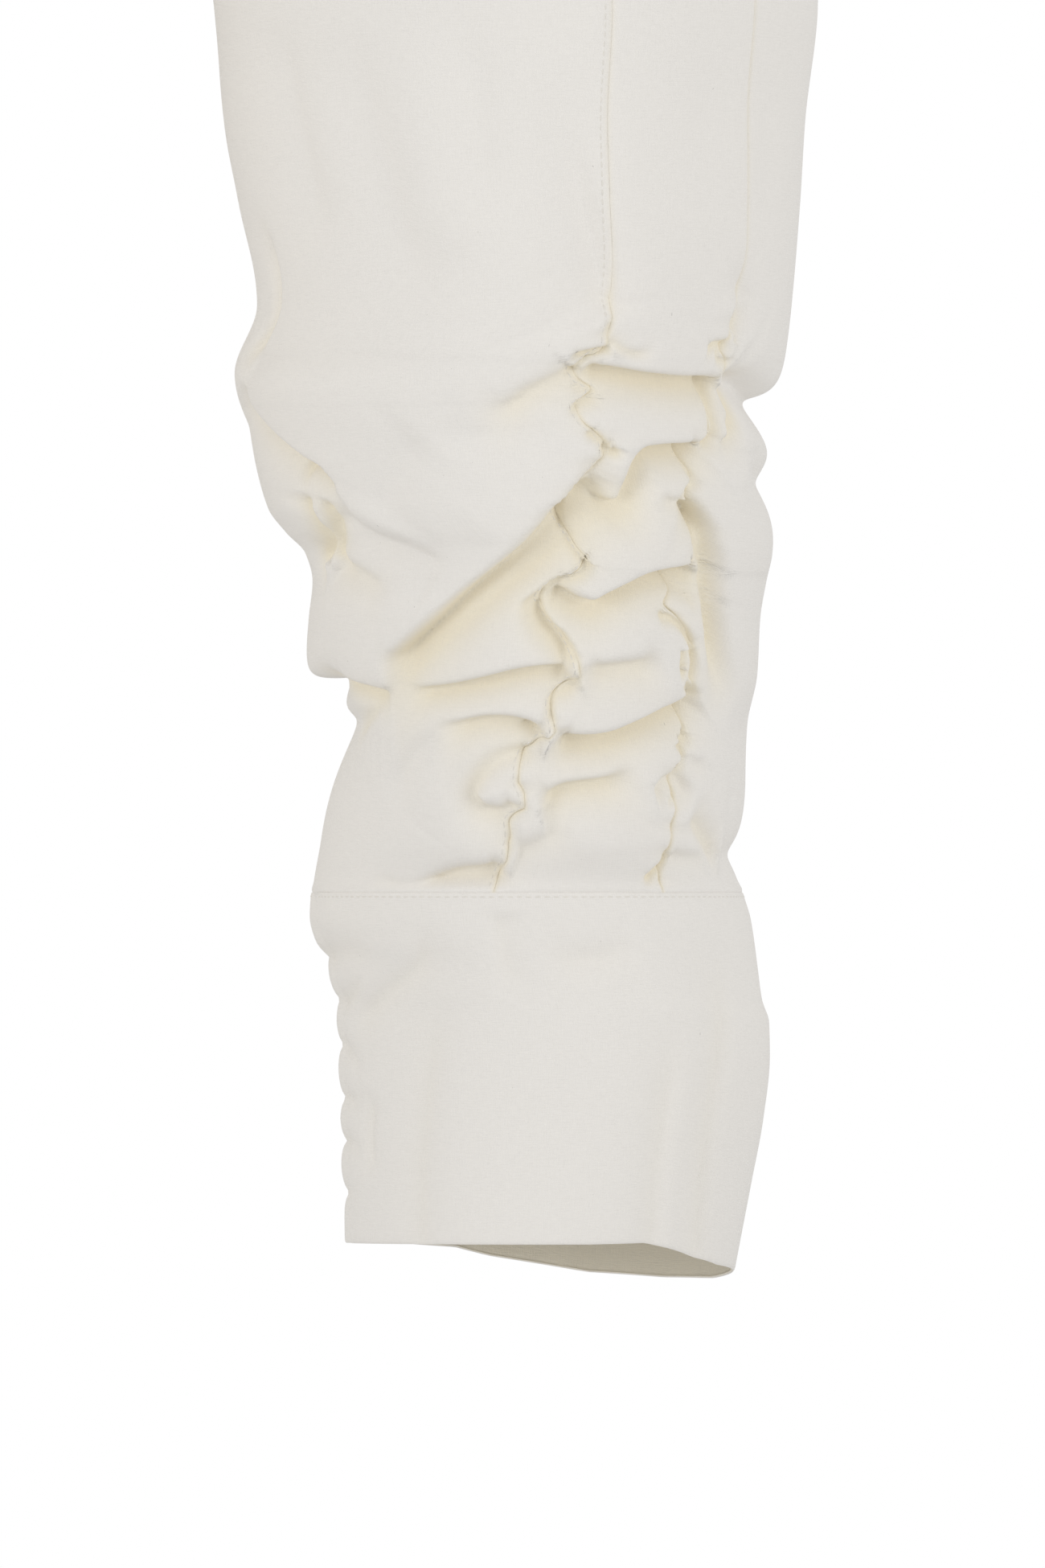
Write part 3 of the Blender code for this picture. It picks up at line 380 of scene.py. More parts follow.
# The pocket bulges with rounded sides, is full by this share of its height and flatter near its mouth
POCKET_ROUNDING = 0.6
POCKET_FILLS_BY = 0.3
POCKET_FLATTENS_FROM = 0.55
POCKET_FLATTENING = 0.7

# The buttons
WAIST_BUTTON_DIAMETER = 0.018
FLAP_BUTTON_DIAMETER = 0.015
BUTTON_THICKNESS = 0.0028
BUTTON_SEAT = 0.0008
# How far the edges of buttons, cloth and the waistband are rounded, and the angle that counts as an edge
BUTTON_EDGE = 0.0005
CLOTH_EDGE = 0.0003
BAND_EDGE = 0.0009
EDGE_ANGLE = math.radians(60)
BUTTON_EDGE_ANGLE = math.radians(35)
# The button's rim, slope, dish, holes and threads, as shares of its radius, thickness or diameter
RIM_SHARE = 0.2
SLOPE_SHARE = 0.1
DISH_SHARE = 0.25
HOLE_PLACE_SHARE = 0.11
HOLE_RADIUS_SHARE = 0.055
THREAD_PLACE_SHARE = 0.078
THREAD_RISE_SHARE = 0.3
THREAD_SIZE_SHARES = (0.27, 0.07, 0.07)

# The thread: its width, the share of the pitch that shows as one stitch, and how far it sinks in
THREAD_WIDTH = 0.00050
STITCH_SHARE = 0.80
THREAD_SUNK = 0.00009
TOPSTITCH_INSET = 0.0019
CUFF_STITCH_BELOW = 0.0012
PATCH_STITCH_EDGE = 0.02
# The pocket's second row of stitches lies further in, by this share of the pocket's width
POCKET_ROW_GAP = 0.045
# A row's own share of the width times this is its height above the bottom edge, in millimetres
POCKET_ROW_RISE = 120
FLAP_STITCH_ABOVE = 2.4
FLAP_STITCH_BELOW = 2.0
# The fly's stitches run down at one share of its width and curve in to another
FLY_STITCH_FROM = 0.88
FLY_STITCH_TO = 0.05
FLY_STITCH_RISE = 8
FLY_STITCH_HEM = 1.5
BAND_STITCH_INSET = 0.0022
# A tack crosses the lap's edge between two angles: how far in it lies beside the lap, and on the lap
TACK_ANGLES = (LAP_EDGE_ANGLE - 1.6, LAP_EDGE_ANGLE + 2.4)
TACK_BESIDE_LAP = 0.0010
TACK_ON_LAP = -0.0001
# The pocket covers this share of the side panel and of the back panel
POCKET_SIDE_SHARE = 0.5
POCKET_BACK_SHARE = 3 / 11
# The fly covers this share of the front panel, and its bottom edge is higher at its outer corner
FLY_SHARE = 4 / 15
FLY_CORNER = 29.0

# Heights between which a sheet's rows keep one step, in millimetres
RowBand = namedtuple("RowBand", "top step")
ROW_BANDS = rows_of(RowBand, [
    (262, 0.68), (285, 1.2), (365, 2.4), (530, 6), (580, 3.5), (780, 7),
])
# Steps of the other sheets, round and up
CUFF_COLUMNS = 250
BAND_COLUMNS = 260
BAND_ROWS = 12
POCKET_GRID = (40, 44)
FLAP_GRID = (40, 20)
FLY_GRID = (12, 40)
CUFF_ROW_STEP = 1.3
RIGHT_COARSER = 1.5
# How a sheet's edge is sewn: how far from the seam each of its outermost lines lies, in millimetres, and
# how far in it turns, in metres
Turn = namedtuple("Turn", "away inward")
PLAIN_EDGE = (Turn(0, 0.0004), Turn(0.3, 0.0001), Turn(0.8, 0))
UPPER_EDGE = (Turn(0, 0.0002), Turn(0.2, 0.00005), Turn(0.6, 0))
UNDER_EDGE = (Turn(-1.6, 0.0006), Turn(-0.2, 0.0005), Turn(0.3, 0.0002), Turn(1.2, 0))
CUFFED_EDGE = (Turn(-3, 0.0012), Turn(-0.3, 0.0006), Turn(0.3, 0.0002), Turn(0.9, 0))
HEM_EDGE = (Turn(0, 0.0004), Turn(0.4, 0.0001), Turn(1.0, 0))
CUFF_TOP_EDGE = (Turn(0, 0.0003), Turn(0.2, 0.0001), Turn(0.6, 0))
BANDED_EDGE = (Turn(-4, 0.0008), Turn(0.4, 0))
# The least step from an edge's last line to the next row, in millimetres
EDGE_CLEAR = 0.3

# The flat cut of each sheet, width and length in metres, and its area in square metres where one is stated
Cut = namedtuple("Cut", "width length area", defaults=(None,))
# The panels: their columns, how these crowd at both ends and grow from the start, their edges, and their cut
Panel = namedtuple("Panel", "columns spread edges cut")
PANELS = {
    "front": Panel(126, (0.15, 1.0), (PLAIN_EDGE, UPPER_EDGE), Cut(0.235, 0.80, 0.115)),
    "side": Panel(62, (0.3, 1.0), (UNDER_EDGE, PLAIN_EDGE), Cut(0.085, 0.84, 0.050)),
    "back": Panel(112, (0.35, 1.3), (PLAIN_EDGE, PLAIN_EDGE), Cut(0.335, 0.84, 0.215)),
}

SIDES = {"left": 1, "right": -1}

# The stage: what the camera looks at, the height that it frames there, and the lights
CAMERA_TARGET = (0.122, 0.0, -0.6667)
FRAME_HEIGHT = 0.4535
SENSOR = 36.0
FLOOR_RADIUS = 3.0
Light = namedtuple("Light", "name place size power")
LIGHTS = (
    Light("key_light", (-2.2, -2.2, -0.4), 1.5, 19.0),
    Light("side_light", (2.3, -1.6, -0.5), 1.4, 14.0),
)
AMBIENT_COLOUR = (1, 0.995, 0.985, 1)
AMBIENT_STRENGTH = 0.70


def table_column(table, name):
    return np.array([getattr(row, name) for row in table], float)


def cubic(t, step, first, last, first_slope, last_slope):
    """A cubic between two values, with given slopes at its ends."""
    start = (1 + 2 * t) * (1 - t) ** 2 * first + t * (1 - t) ** 2 * step * first_slope
    end = t * t * (3 - 2 * t) * last - t * t * (1 - t) * step * last_slope
    return start + end


def smooth_read(table, name, at):
    """Reads a column at any height by a cubic that never overshoots the rows on either side."""
    x = table_column(table, "up")
    y = table_column(table, name)
    step = np.diff(x)
    rise = np.diff(y) / step
    slope = np.zeros_like(y)
    same = rise[:-1] * rise[1:] > 0
    safe = np.where(same, rise[:-1] + rise[1:], 1.0)
    slope[1:-1] = np.where(same, 2 * rise[:-1] * rise[1:] / safe, 0.0)
    slope[0], slope[-1] = rise[0], rise[-1]
    at = np.clip(at, x[0], x[-1])
    i = np.clip(np.searchsorted(x, at, side="right") - 1, 0, len(x) - 2)
    return cubic((at - x[i]) / step[i], step[i], y[i], y[i + 1], slope[i], slope[i + 1])


def ease(value, low, high):
    t = np.clip((value - low) / (high - low), 0, 1)
    return t * t * (3 - 2 * t)


def fold_line(fold):
    """A smooth line through a fold's places, in millimetres, and the share of its length at each step."""
    places = np.array(fold.line, float) * (DEGREE_LENGTH, 1)
    reached = np.concatenate([[0], np.cumsum(np.hypot(*np.diff(places, axis=0).T))])
    slope = np.gradient(places, reached, axis=0)
    at = np.linspace(0, reached[-1], LINE_STEPS * (len(places) - 1) + 1)
    i = np.clip(np.searchsorted(reached, at, side="right") - 1, 0, len(places) - 2)
    step = (reached[i + 1] - reached[i])[:, None]
    t = ((at - reached[i]) / step[:, 0])[:, None]
    return cubic(t, step, places[i], places[i + 1], slope[i], slope[i + 1]), at / reached[-1]


def fade(fold, run):
    """How much of a fold's depth is there along its length."""
    level = np.ones(np.shape(run))
    if fold.fade_in:
        level = level * ease(run, 0, fold.fade_in)
    if fold.fade_out:
        level = level * ease(1 - run, 0, fold.fade_out)
    return level


def seen_above(depth, reach):
    """How far above a fold's bottom the eye sees it, since the cloth above hangs over its bottom."""
    steepness = np.maximum(DROOP * depth / reach, 1e-9)
    return np.where(steepness > 1, reach * (np.log(steepness) + 1), DROOP * depth)


def one_fold_depth(fold, angle, up, rounding):
    """How deep one fold is at each place, in millimetres."""
    total = np.zeros(angle.shape)
    margin = FLANK_REACHES * max(fold.above, fold.below)
    across = angle * DEGREE_LENGTH
    places = np.array(fold.line, float) * (DEGREE_LENGTH, 1)
    low, high = places.min(axis=0) - margin, places.max(axis=0) + margin
    near = (across > low[0]) & (across < high[0]) & (up > low[1] - margin) & (up < high[1])
    if not near.any():
        return total
    line, run = fold_line(fold)
    rightward = np.gradient(line[:, 0]) >= 0
    level = fade(fold, run)
    upper = np.where(rightward, fold.above, fold.below) * (1 + FADE_SPREAD * (1 - level))
    line[:, 1] -= seen_above(fold.depth * level, upper)
    way = np.diff(line, axis=0)
    offset = np.stack([across[near], up[near]], axis=-1)[:, None] - line[None, :-1]
    t = np.clip((offset * way).sum(axis=-1) / (way**2).sum(axis=-1), 0, 1)
    gap = offset - t[..., None] * way
    distance = np.hypot(gap[..., 0], gap[..., 1])
    nearest = distance.min(axis=1)
    weight = np.exp((nearest[:, None] - distance) / LINE_BLEND)
    weight /= weight.sum(axis=1, keepdims=True)
    leftward = way[:, 0] * offset[..., 1] - way[:, 1] * offset[..., 0]
    turned = np.clip(leftward / np.hypot(*way.T) / np.maximum(distance, 1e-6), -1, 1)
    share = (weight * turned).sum(axis=1) / 2 + 0.5
    level = fade(fold, (weight * (run[:-1] + (run[1] - run[0]) * t)).sum(axis=1))
    reach = (fold.below + (fold.above - fold.below) * share) * (1 + FADE_SPREAD * (1 - level))
    profile = np.exp(-(((np.hypot(nearest, rounding) - rounding) / reach) ** FLANK_POWER))
    total[near] = fold.depth * profile * level
    return total


def table_depth(table, angle, up, rounding):
    """The depth of a whole table of folds, joined so that those that meet don't add up."""
    total = np.zeros(angle.shape)
    for fold in table:
        for turn in (-360, 0, 360):
            total += one_fold_depth(fold, angle + turn, up, rounding) ** 2
    return np.sqrt(total)


def fold_level(up):
    """The share of the folds that is left near the cuff seam and the waistband."""
    cuff_top = CUFF_HEIGHT / MM
    low = ease(up, cuff_top, cuff_top + CUFF_EASE)
    return low * (1 - ease(up, WAIST_EASE_UP, SECTIONS[-1].up - 1))


def centre_level(angle, up):
    """The share of the folds that is left near the centre seam, which stays in the centre plane."""
    centre = centre_angle(up)
    away = np.minimum((angle - centre) % 360, (180 - centre - angle) % 360)
    return 1 - ease(up, *CENTRE_HEIGHTS) * (1 - ease(away, 0, CENTRE_SPREAD))


def gathers(up):
    """1 where the side seams are gathered, 0 above."""
    return 1 - ease(up, *GATHERS_FADE_UP)


def seam_depth(angle, up):
    """The grooves and the small puckers along both side seams, in millimetres."""
    total = np.zeros(angle.shape)
    gathered = gathers(up)
    groove = SEAM_GROOVE + GATHERED_GROOVE * gathered
    for name, phase in PUCKER_PHASES.items():
        away = (angle - smooth_read(SEAMS, name, up)) * DEGREE_LENGTH
        drift = PUCKER_DRIFT * np.sin(up / PUCKER_DRIFT_LENGTH + phase)
        wave = np.sin(2 * np.pi * up / PUCKER_PITCH + phase + drift + PUCKER_SIDE_PHASE * np.sign(away))
        pucker = PUCKER_DEPTH * gathered * (1 + wave) * np.exp(-np.abs(away) / PUCKER_REACH)
        fine = STITCH_GROOVE * np.exp(-np.abs(away) / STITCH_REACH)
        total += (groove * np.exp(-np.abs(away) / SEAM_REACH)) ** 2 + (pucker + fine) ** 2
    return np.sqrt(total)


def fold_depths(angle, up):
    """Depths of the large valleys and of the finer creases at each place, in millimetres."""
    large = table_depth(FOLDS, angle, up, FOLD_ROUNDING)
    fine = np.hypot(table_depth(CREASES, angle, up, CREASE_ROUNDING), seam_depth(angle, up))
    level = fold_level(up) * centre_level(angle, up)
    return large * level, fine * level


def tack_depth(angle, up):
    """How far the tacks pull the cuff's lap in, in millimetres."""
    away = np.min([np.abs(up - tack) for tack in TACKS_UP], axis=0)
    turn = (angle - INSEAM + 180) % 360 - 180
    return TACK_DEPTH * np.exp(-away / TACK_REACH) * np.exp(-((turn / TACK_SPREAD) ** 2))


def leg_form(angle, up, fold, inward=0.0):
    """The left leg's outer surface where the folds have a given depth, in metres."""
    inner, outer, front, back = (smooth_read(SECTIONS, name, up) for name in Section._fields[1:])
    steady = sum(smooth_read(SECTIONS, "inner", up + step) for step in STEADY_STEPS) / len(STEADY_STEPS)
    behind = ease(angle, *STEADY_FROM) * (1 - ease(angle, *STEADY_TO)) * (1 - ease(up, *STEADY_UP))
    inner = inner + (steady - inner) * behind
    across, deep = (outer - inner) / 2, (back - front) / 2
    radians = np.radians(angle)
    x = (inner + outer) / 2 + across * np.sin(radians)
    y = (front + back) / 2 - deep * np.cos(radians)
    drop = np.interp(angle, table_column(HEM_DROPS, "angle"), table_column(HEM_DROPS, "drop"))
    drop = drop * np.clip(1 - up * MM / CUFF_HEIGHT, 0, 1)
    cuff = up < CUFF_HEIGHT / MM
    inside = fold + inward / MM
    length = np.hypot(np.sin(radians) / across, np.cos(radians) / deep)
    x = x - inside * np.sin(radians) / across / length
    y = y + inside * np.cos(radians) / deep / length
    z = up - drop + DROOP * np.where(cuff, 0, fold)
    return np.stack([x * MM, y * MM, HEM_Z + z * MM], axis=-1)


def leg_surface(angle, up, inward=0.0):
    """The panels' surface with all of its folds."""
    return leg_form(angle, up, sum(fold_depths(angle, up)), inward)


def cuff_depth(angle, up):
    return tack_depth(angle, up) + table_depth(CUFF_CREASES, angle, up, CREASE_ROUNDING)


def cuff_surface(angle, up, inward=0.0):
    """The cuff, whose under end steps inside the lap at the inseam."""
    step = ease(angle, LAP_STEP_START, LAP_STEP_END) * LAP_STEP
    return leg_form(angle, up, cuff_depth(angle, up), inward + step)


def surface_normal(surface, angle, up):
    """Outward normals of a surface function, from places a little to each side."""
    turn, rise = 0.3, 0.4
    across = surface(angle + turn, up) - surface(angle - turn, up)
    along = surface(angle, up + rise) - surface(angle, up - rise)
    normal = np.cross(across, along)
    return normal / np.linalg.norm(normal, axis=-1, keepdims=True)


def centre_angle(up):
    """The angle at which the section meets the centre plane, or the inseam's below the crotch."""
    inner = smooth_read(SECTIONS, "inner", up)
    outer = smooth_read(SECTIONS, "outer", up)
    middle, across = (inner + outer) / 2, (outer - inner) / 2
    cut = np.degrees(np.arcsin(np.clip(-middle / across, -1, 1)))
    return np.where(up <= CROTCH_UP / MM, INSEAM, np.maximum(cut, INSEAM))


def panel_edges(piece, up):
    """Angles of a panel's two long edges at each height."""
    front_seam = smooth_read(SEAMS, "front", up)
    back_seam = smooth_read(SEAMS, "back", up)
    return {
        "front": (centre_angle(up), front_seam),
        "side": (front_seam, back_seam),
        "back": (back_seam, 180 - centre_angle(up)),
    }[piece]


def coarser(side):
    """How many times coarser than the finest a leg's sheets are."""
    return (RIGHT_COARSER if side < 0 else 1) * 1


def row_heights(side):
    """Heights of a panel's rows, in millimetres."""
    heights = [CUFF_HEIGHT / MM]
    for band in ROW_BANDS:
        count = max(2, round((band.top - heights[-1]) / (band.step * coarser(side))))
        heights.extend(np.linspace(heights[-1], band.top, count + 1)[1:])
    return np.array(heights)


def column_shares(count, crowding, growth=1.0):
    """Shares from 0 to 1 that lie closer together at both ends, and closer at the start than at the end."""
    even = np.linspace(0, 1, count + 1) ** growth
    return even - crowding * np.sin(2 * np.pi * even) / (2 * np.pi)


def bare_surface(angle, up):
    """The panels' surface with its large folds only, which patches lie on."""
    level = fold_level(up) * centre_level(angle, up)
    return leg_form(angle, up, table_depth(FOLDS, angle, up, FOLD_ROUNDING) * level)


def lifted(angle, up, offset):
    """Places that stand off the leg by an offset in metres."""
    normal = surface_normal(bare_surface, angle, up)
    return bare_surface(angle, up) + normal * np.asarray(offset)[..., None]


def band_points(angle, height, outward=0.0):
    """The waistband, which steps inside its own lap at the centre front, at heights from its middle."""
    top = SECTIONS[-1]
    deep = (top.back - top.front) / 2 * MM
    middle = (top.back + top.front) / 2 * MM
    inward = ease(angle, BAND_STEP_START, BAND_STEP_END) * BAND_STEP - outward
    lean = BAND_LEAN * (0.5 - height / WAISTBAND_HEIGHT)
    radians = np.radians(angle)
    x = (top.outer * MM + lean - inward) * np.sin(radians)
    y = middle - (deep + lean - inward) * np.cos(radians)
    return np.stack([x, y, height + 0 * x], axis=-1)


def pocket_angle(across, up):
    """Angles across the pocket, which covers both sides of the back seam."""
    front_seam = smooth_read(SEAMS, "front", up)
    back_seam = smooth_read(SEAMS, "back", up)
    end = 180 - centre_angle(up)
    share = 1 - POCKET_SIDE_SHARE + 2 * POCKET_SIDE_SHARE * across
    on_side = front_seam + (back_seam - front_seam) * share
    on_back = back_seam + (end - back_seam) * POCKET_BACK_SHARE * (2 * across - 1)
    return np.where(across < 0.5, on_side, on_back)


def pocket_puff(across, up):
    """How far the pocket stands off the leg: nothing at its sewn edges, little at its mouth."""
    rise = (up - POCKET_BOTTOM_UP) / (POCKET_TOP_UP - POCKET_BOTTOM_UP)
    swell = np.clip(4 * across * (1 - across), 0, 1) ** POCKET_ROUNDING * ease(rise, 0, POCKET_FILLS_BY)
    return POCKET_PUFF * swell * (1 - POCKET_FLATTENING * ease(rise, POCKET_FLATTENS_FROM, 1))


def pocket_surface(across, up, outward=0.0):
    offset = PATCH_CLEAR + PATCH_CLOTH + pocket_puff(across, up) + outward
    return lifted(pocket_angle(across, up), up, offset)


def flap_surface(across, up, outward=0.0):
    """The flap, which lies over the pocket's mouth and is sewn to the leg along its top."""
    over = PATCH_CLOTH + FLAP_CLEAR + pocket_puff(across, np.minimum(up, POCKET_TOP_UP))
    sewn = ease(up, POCKET_TOP_UP + FLAP_SEWN_ABOVE, FLAP_TOP_UP - FLAP_SEWN_BELOW)
    return lifted(pocket_angle(across, up), up, PATCH_CLEAR + PATCH_CLOTH + over * (1 - sewn) + outward)


def flap_bottom(across):
    return FLAP_BOTTOM_UP - FLAP_POINT * (1 - np.abs(2 * across - 1))


def fly_top():
    return (-HEM_Z - WAISTBAND_HEIGHT / 2) / MM - 0.6


def fly_bottom(across):
    return fly_top() - FLY_LENGTH / MM + FLY_CORNER * across**2


def fly_surface(across, up, outward=0.0):
    start, end = panel_edges("front", up)
    offset = PATCH_CLEAR + PATCH_CLOTH + outward
    return lifted(start + (end - start) * FLY_SHARE * across, up, offset)


def sewn_lines(start, end, shares, first, last):
    """A sheet's lines from one sewn edge to the other, and how far in each of them turns.

    Start and end are the seams' places in millimetres, and may be arrays.
    """
    start, end = np.asarray(start, float)[..., None], np.asarray(end, float)[..., None]
    before = [start + turn.away for turn in first]
    after = [end - turn.away for turn in last[::-1]]
    inner_start, inner_end = before[-1], after[0]
    middle = inner_start + (inner_end - inner_start) * shares[1:-1]
    inward = [turn.inward for turn in first] + [0] * (len(shares) - 2) + [turn.inward for turn in last[::-1]]
    return np.concatenate([*before, middle, *after], axis=-1), np.array(inward)


def deselect_all():
    if bpy.context.object and bpy.context.object.mode != "OBJECT":
        bpy.ops.object.mode_set(mode="OBJECT")
    bpy.ops.object.select_all(action="DESELECT")


def cut_places(points, angle):
    """Where each point of a sheet lies on its flat cut, in metres, for the weave."""
    along = np.linalg.norm(np.diff(points, axis=0), axis=-1).mean(axis=1)
    v = np.concatenate([[0], np.cumsum(along)])
    return np.stack([angle * DEGREE_LENGTH * MM, v[:, None] + 0 * angle], axis=-1)


def sew_sheet(name, points, cut, fold, side, thickness):
    """One sheet of cloth over a grid of points, rows up and columns round, thickened inwards."""
    points = points * np.array([side, 1, 1])
    if side < 0:
        points, cut, fold = points[:, ::-1], cut[:, ::-1], fold[:, ::-1]
    rows, columns = points.shape[0] - 1, points.shape[1] - 1
    deselect_all()
    bpy.ops.mesh.primitive_grid_add(x_subdivisions=columns, y_subdivisions=rows, size=1, calc_uvs=True)
    piece = bpy.context.object
    piece.name = name
    mesh = piece.data
    mesh.name = name
    place = np.empty(len(mesh.vertices) * 3)
    mesh.vertices.foreach_get("co", place)
    place = place.reshape(-1, 3)
    column = np.rint((place[:, 0] + 0.5) * columns).astype(int)
    row = np.rint((place[:, 1] + 0.5) * rows).astype(int)
    mesh.vertices.foreach_set("co", points[row, column].ravel())
    corner = np.empty(len(mesh.loops), int)
    mesh.loops.foreach_get("vertex_index", corner)
    layer = mesh.uv_layers.active
    layer.name = "cut"
    layer.data.foreach_set("uv", cut[row, column][corner].ravel())
    # The "fold" attribute holds the painted warm shade of folds, seams and the cuff's inside: 0 unshaded, 1
    # full shade
    painted_shade = mesh.attributes.new("fold", "FLOAT", "POINT")
    painted_shade.data.foreach_set("value", fold[row, column].ravel())
    mesh.update()
    bpy.ops.object.modifier_add(type="SOLIDIFY")
    wall = piece.modifiers[-1]
    wall.thickness = thickness
    wall.offset = -1
    wall.thickness_clamp = 1.0
    wall.use_thickness_angle_clamp = True
    bpy.ops.object.modifier_apply(modifier=wall.name)
    bpy.ops.object.shade_smooth_by_angle(angle=EDGE_ANGLE)
    return piece


def wear(piece, material, nodes):
    """Gives a piece its material, hangs it from the root, and hides the frame's parts that it stands for."""
    piece.data.materials.clear()
    piece.data.materials.append(material)
    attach(piece, "root")
    if nodes:
        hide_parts(*nodes)
    return piece


def painted_fold_shade(angle, up, fine):
    """0 on open cloth and 1 deep in a crisp fold, for the painted warm shade there."""
    crisp = table_depth(CRISP_FOLDS, angle, up, FOLD_ROUNDING) * fold_level(up)
    shares = np.clip(crisp / FOLD_PAINTED_SHADE_DEPTH, 0, 1), np.clip(fine / CREASE_PAINTED_SHADE_DEPTH, 0, 1)
    return 1 - (1 - shares[0]) * (1 - shares[1])


def painted_seam_shade(angle, up):
    """1 on a side seam and 0 away from it, for the painted warm shade in its groove."""
    seams = [smooth_read(SEAMS, name, up) for name in ("front", "back")]
    away = np.min([np.abs(angle - seam) for seam in seams], axis=0) * DEGREE_LENGTH
    level = PLAIN_SEAM_PAINTED_SHADE + (SEAM_PAINTED_SHADE - PLAIN_SEAM_PAINTED_SHADE) * gathers(up)
    return level * np.exp(-((away / SEAM_PAINTED_SHADE_REACH) ** 2))


def panel_grid(piece, side):
    """Angles, heights and turned-in depths of a panel's points."""
    rows = row_heights(side)
    low = rows[0] + np.array([turn.away for turn in CUFFED_EDGE])
    high = rows[-1] - np.array([turn.away for turn in BANDED_EDGE[::-1]])
    between = rows[(rows > low[-1] + EDGE_CLEAR) & (rows < high[0] - EDGE_CLEAR)]
    heights = np.concatenate([low, between, high])
    tucked = np.zeros(len(heights))
    tucked[: len(low)] = [turn.inward for turn in CUFFED_EDGE]
    tucked[-len(high) :] = [turn.inward for turn in BANDED_EDGE[::-1]]
    start, end = panel_edges(piece, heights)
    panel = PANELS[piece]
    shares = column_shares(round(panel.columns / coarser(side)), *panel.spread)
    across, turned = sewn_lines(start * DEGREE_LENGTH, end * DEGREE_LENGTH, shares, *panel.edges)
    up = np.repeat(heights[:, None], across.shape[1], axis=1)
    inward = np.maximum(tucked[:, None], turned[None, :])
    split = up > CROTCH_UP / MM
    centre = {"front": slice(0, 3), "back": slice(-3, None), "side": slice(0, 0)}[piece]
    at_centre = np.zeros(up.shape, bool)
    at_centre[:, centre] = True
    inward = np.where(split & at_centre, tucked[:, None], inward)
    return across / DEGREE_LENGTH, up, inward


def sew_panel(piece, hand, material):
    """The front, side or back panel of one leg."""
    side = SIDES[hand]
    angle, up, inward = panel_grid(piece, side)
    large, fine = fold_depths(angle, up)
    points = leg_form(angle, up, large + fine, inward)
    cut = cut_places(points, angle)
    # Painted warm shade: deepest in crisp folds, creases and the seam grooves
    painted_shade = 1 - (1 - painted_fold_shade(angle, up, fine)) * (1 - painted_seam_shade(angle, up))
    sheet = sew_sheet(f"{piece}_panel_{hand}", points, cut, painted_shade, side, PANEL_CLOTH)
    return wear(sheet, material, [f"{piece}_{hand}"])


def sew_cuff(hand, material):
    """The cuff of one leg, whose inside takes the painted warm shade all over."""
    side = SIDES[hand]
    count = round(CUFF_HEIGHT / MM / (CUFF_ROW_STEP * coarser(side)))
    heights, tucked = sewn_lines(0, CUFF_HEIGHT / MM, np.linspace(0, 1, count), HEM_EDGE, CUFF_TOP_EDGE)
    shares = column_shares(round(CUFF_COLUMNS / coarser(side)), 0.5)
    angles = LAP_EDGE_ANGLE + (LAP_UNDER_ANGLE - LAP_EDGE_ANGLE) * shares
    angle, up = np.meshgrid(angles, heights)
    points = cuff_surface(angle, up, np.repeat(tucked[:, None], len(angles), axis=1))
    # Painted warm shade in the cuff's creases and at its tacks
    fold = np.clip(cuff_depth(angle, up) / CUFF_PAINTED_SHADE_DEPTH, 0, 1)
    sheet = sew_sheet(f"cuff_cloth_{hand}", points, cut_places(points, angle), fold, side, CUFF_CLOTH)
    painted_shade = sheet.data.attributes["fold"].data
    painted_shades = np.empty(len(painted_shade))
    painted_shade.foreach_get("value", painted_shades)
    # The cuff's inside faces take the painted warm shade all over
    painted_shades[points[..., 0].size :] = INNER_CUFF_PAINTED_SHADE
    painted_shade.foreach_set("value", painted_shades)
    round_edges(sheet, CLOTH_EDGE)
    return wear(sheet, material, [f"cuff_{hand}"])


def sew_patch(name, surface, bottom, top, grid, side, material, node):
    """A patch of cloth between a bottom line and a top line of a surface over (across, up)."""
    columns, rows = grid
    shares = np.linspace(0, 1, columns + 1)
    across, rise = np.meshgrid(shares, np.linspace(0, 1, rows + 1))
    up = bottom(across) + (top - bottom(across)) * rise
    points = surface(across, up)
    round_the_leg = np.linalg.norm(np.diff(points, axis=1), axis=-1)
    u = np.concatenate([np.zeros((rows + 1, 1)), np.cumsum(round_the_leg, axis=1)], axis=1)
    cut = np.stack([u, cut_places(points, across)[..., 1]], axis=-1)
    sheet = sew_sheet(name, points, cut, np.zeros(across.shape), side, PATCH_CLOTH)
    round_edges(sheet, CLOTH_EDGE)
    return wear(sheet, material, [node])


def round_edges(piece, width):
    bpy.ops.object.modifier_add(type="BEVEL")
    bevel = piece.modifiers[-1]
    bevel.width = width
    bevel.segments = 2
    bevel.limit_method = "ANGLE"
    bevel.angle_limit = EDGE_ANGLE
    bpy.ops.object.modifier_apply(modifier=bevel.name)


def level_line(level):
    return lambda across: np.full(np.shape(across), level)


def guide_curve(path, context):
    """A straight-stepped curve through a path's points."""
    line = bpy.data.curves.new("path", "CURVE")
    line.dimensions = "3D"
    line.twist_mode = "Z_UP"
    spline = line.splines.new("POLY")
    spline.points.add(len(path) - 1)
    flat = np.ones((len(path), 4))
    flat[:, :3] = path
    spline.points.foreach_set("co", flat.ravel())
    guide = bpy.data.objects.new("path", line)
    context.collection.objects.link(guide)
    return guide


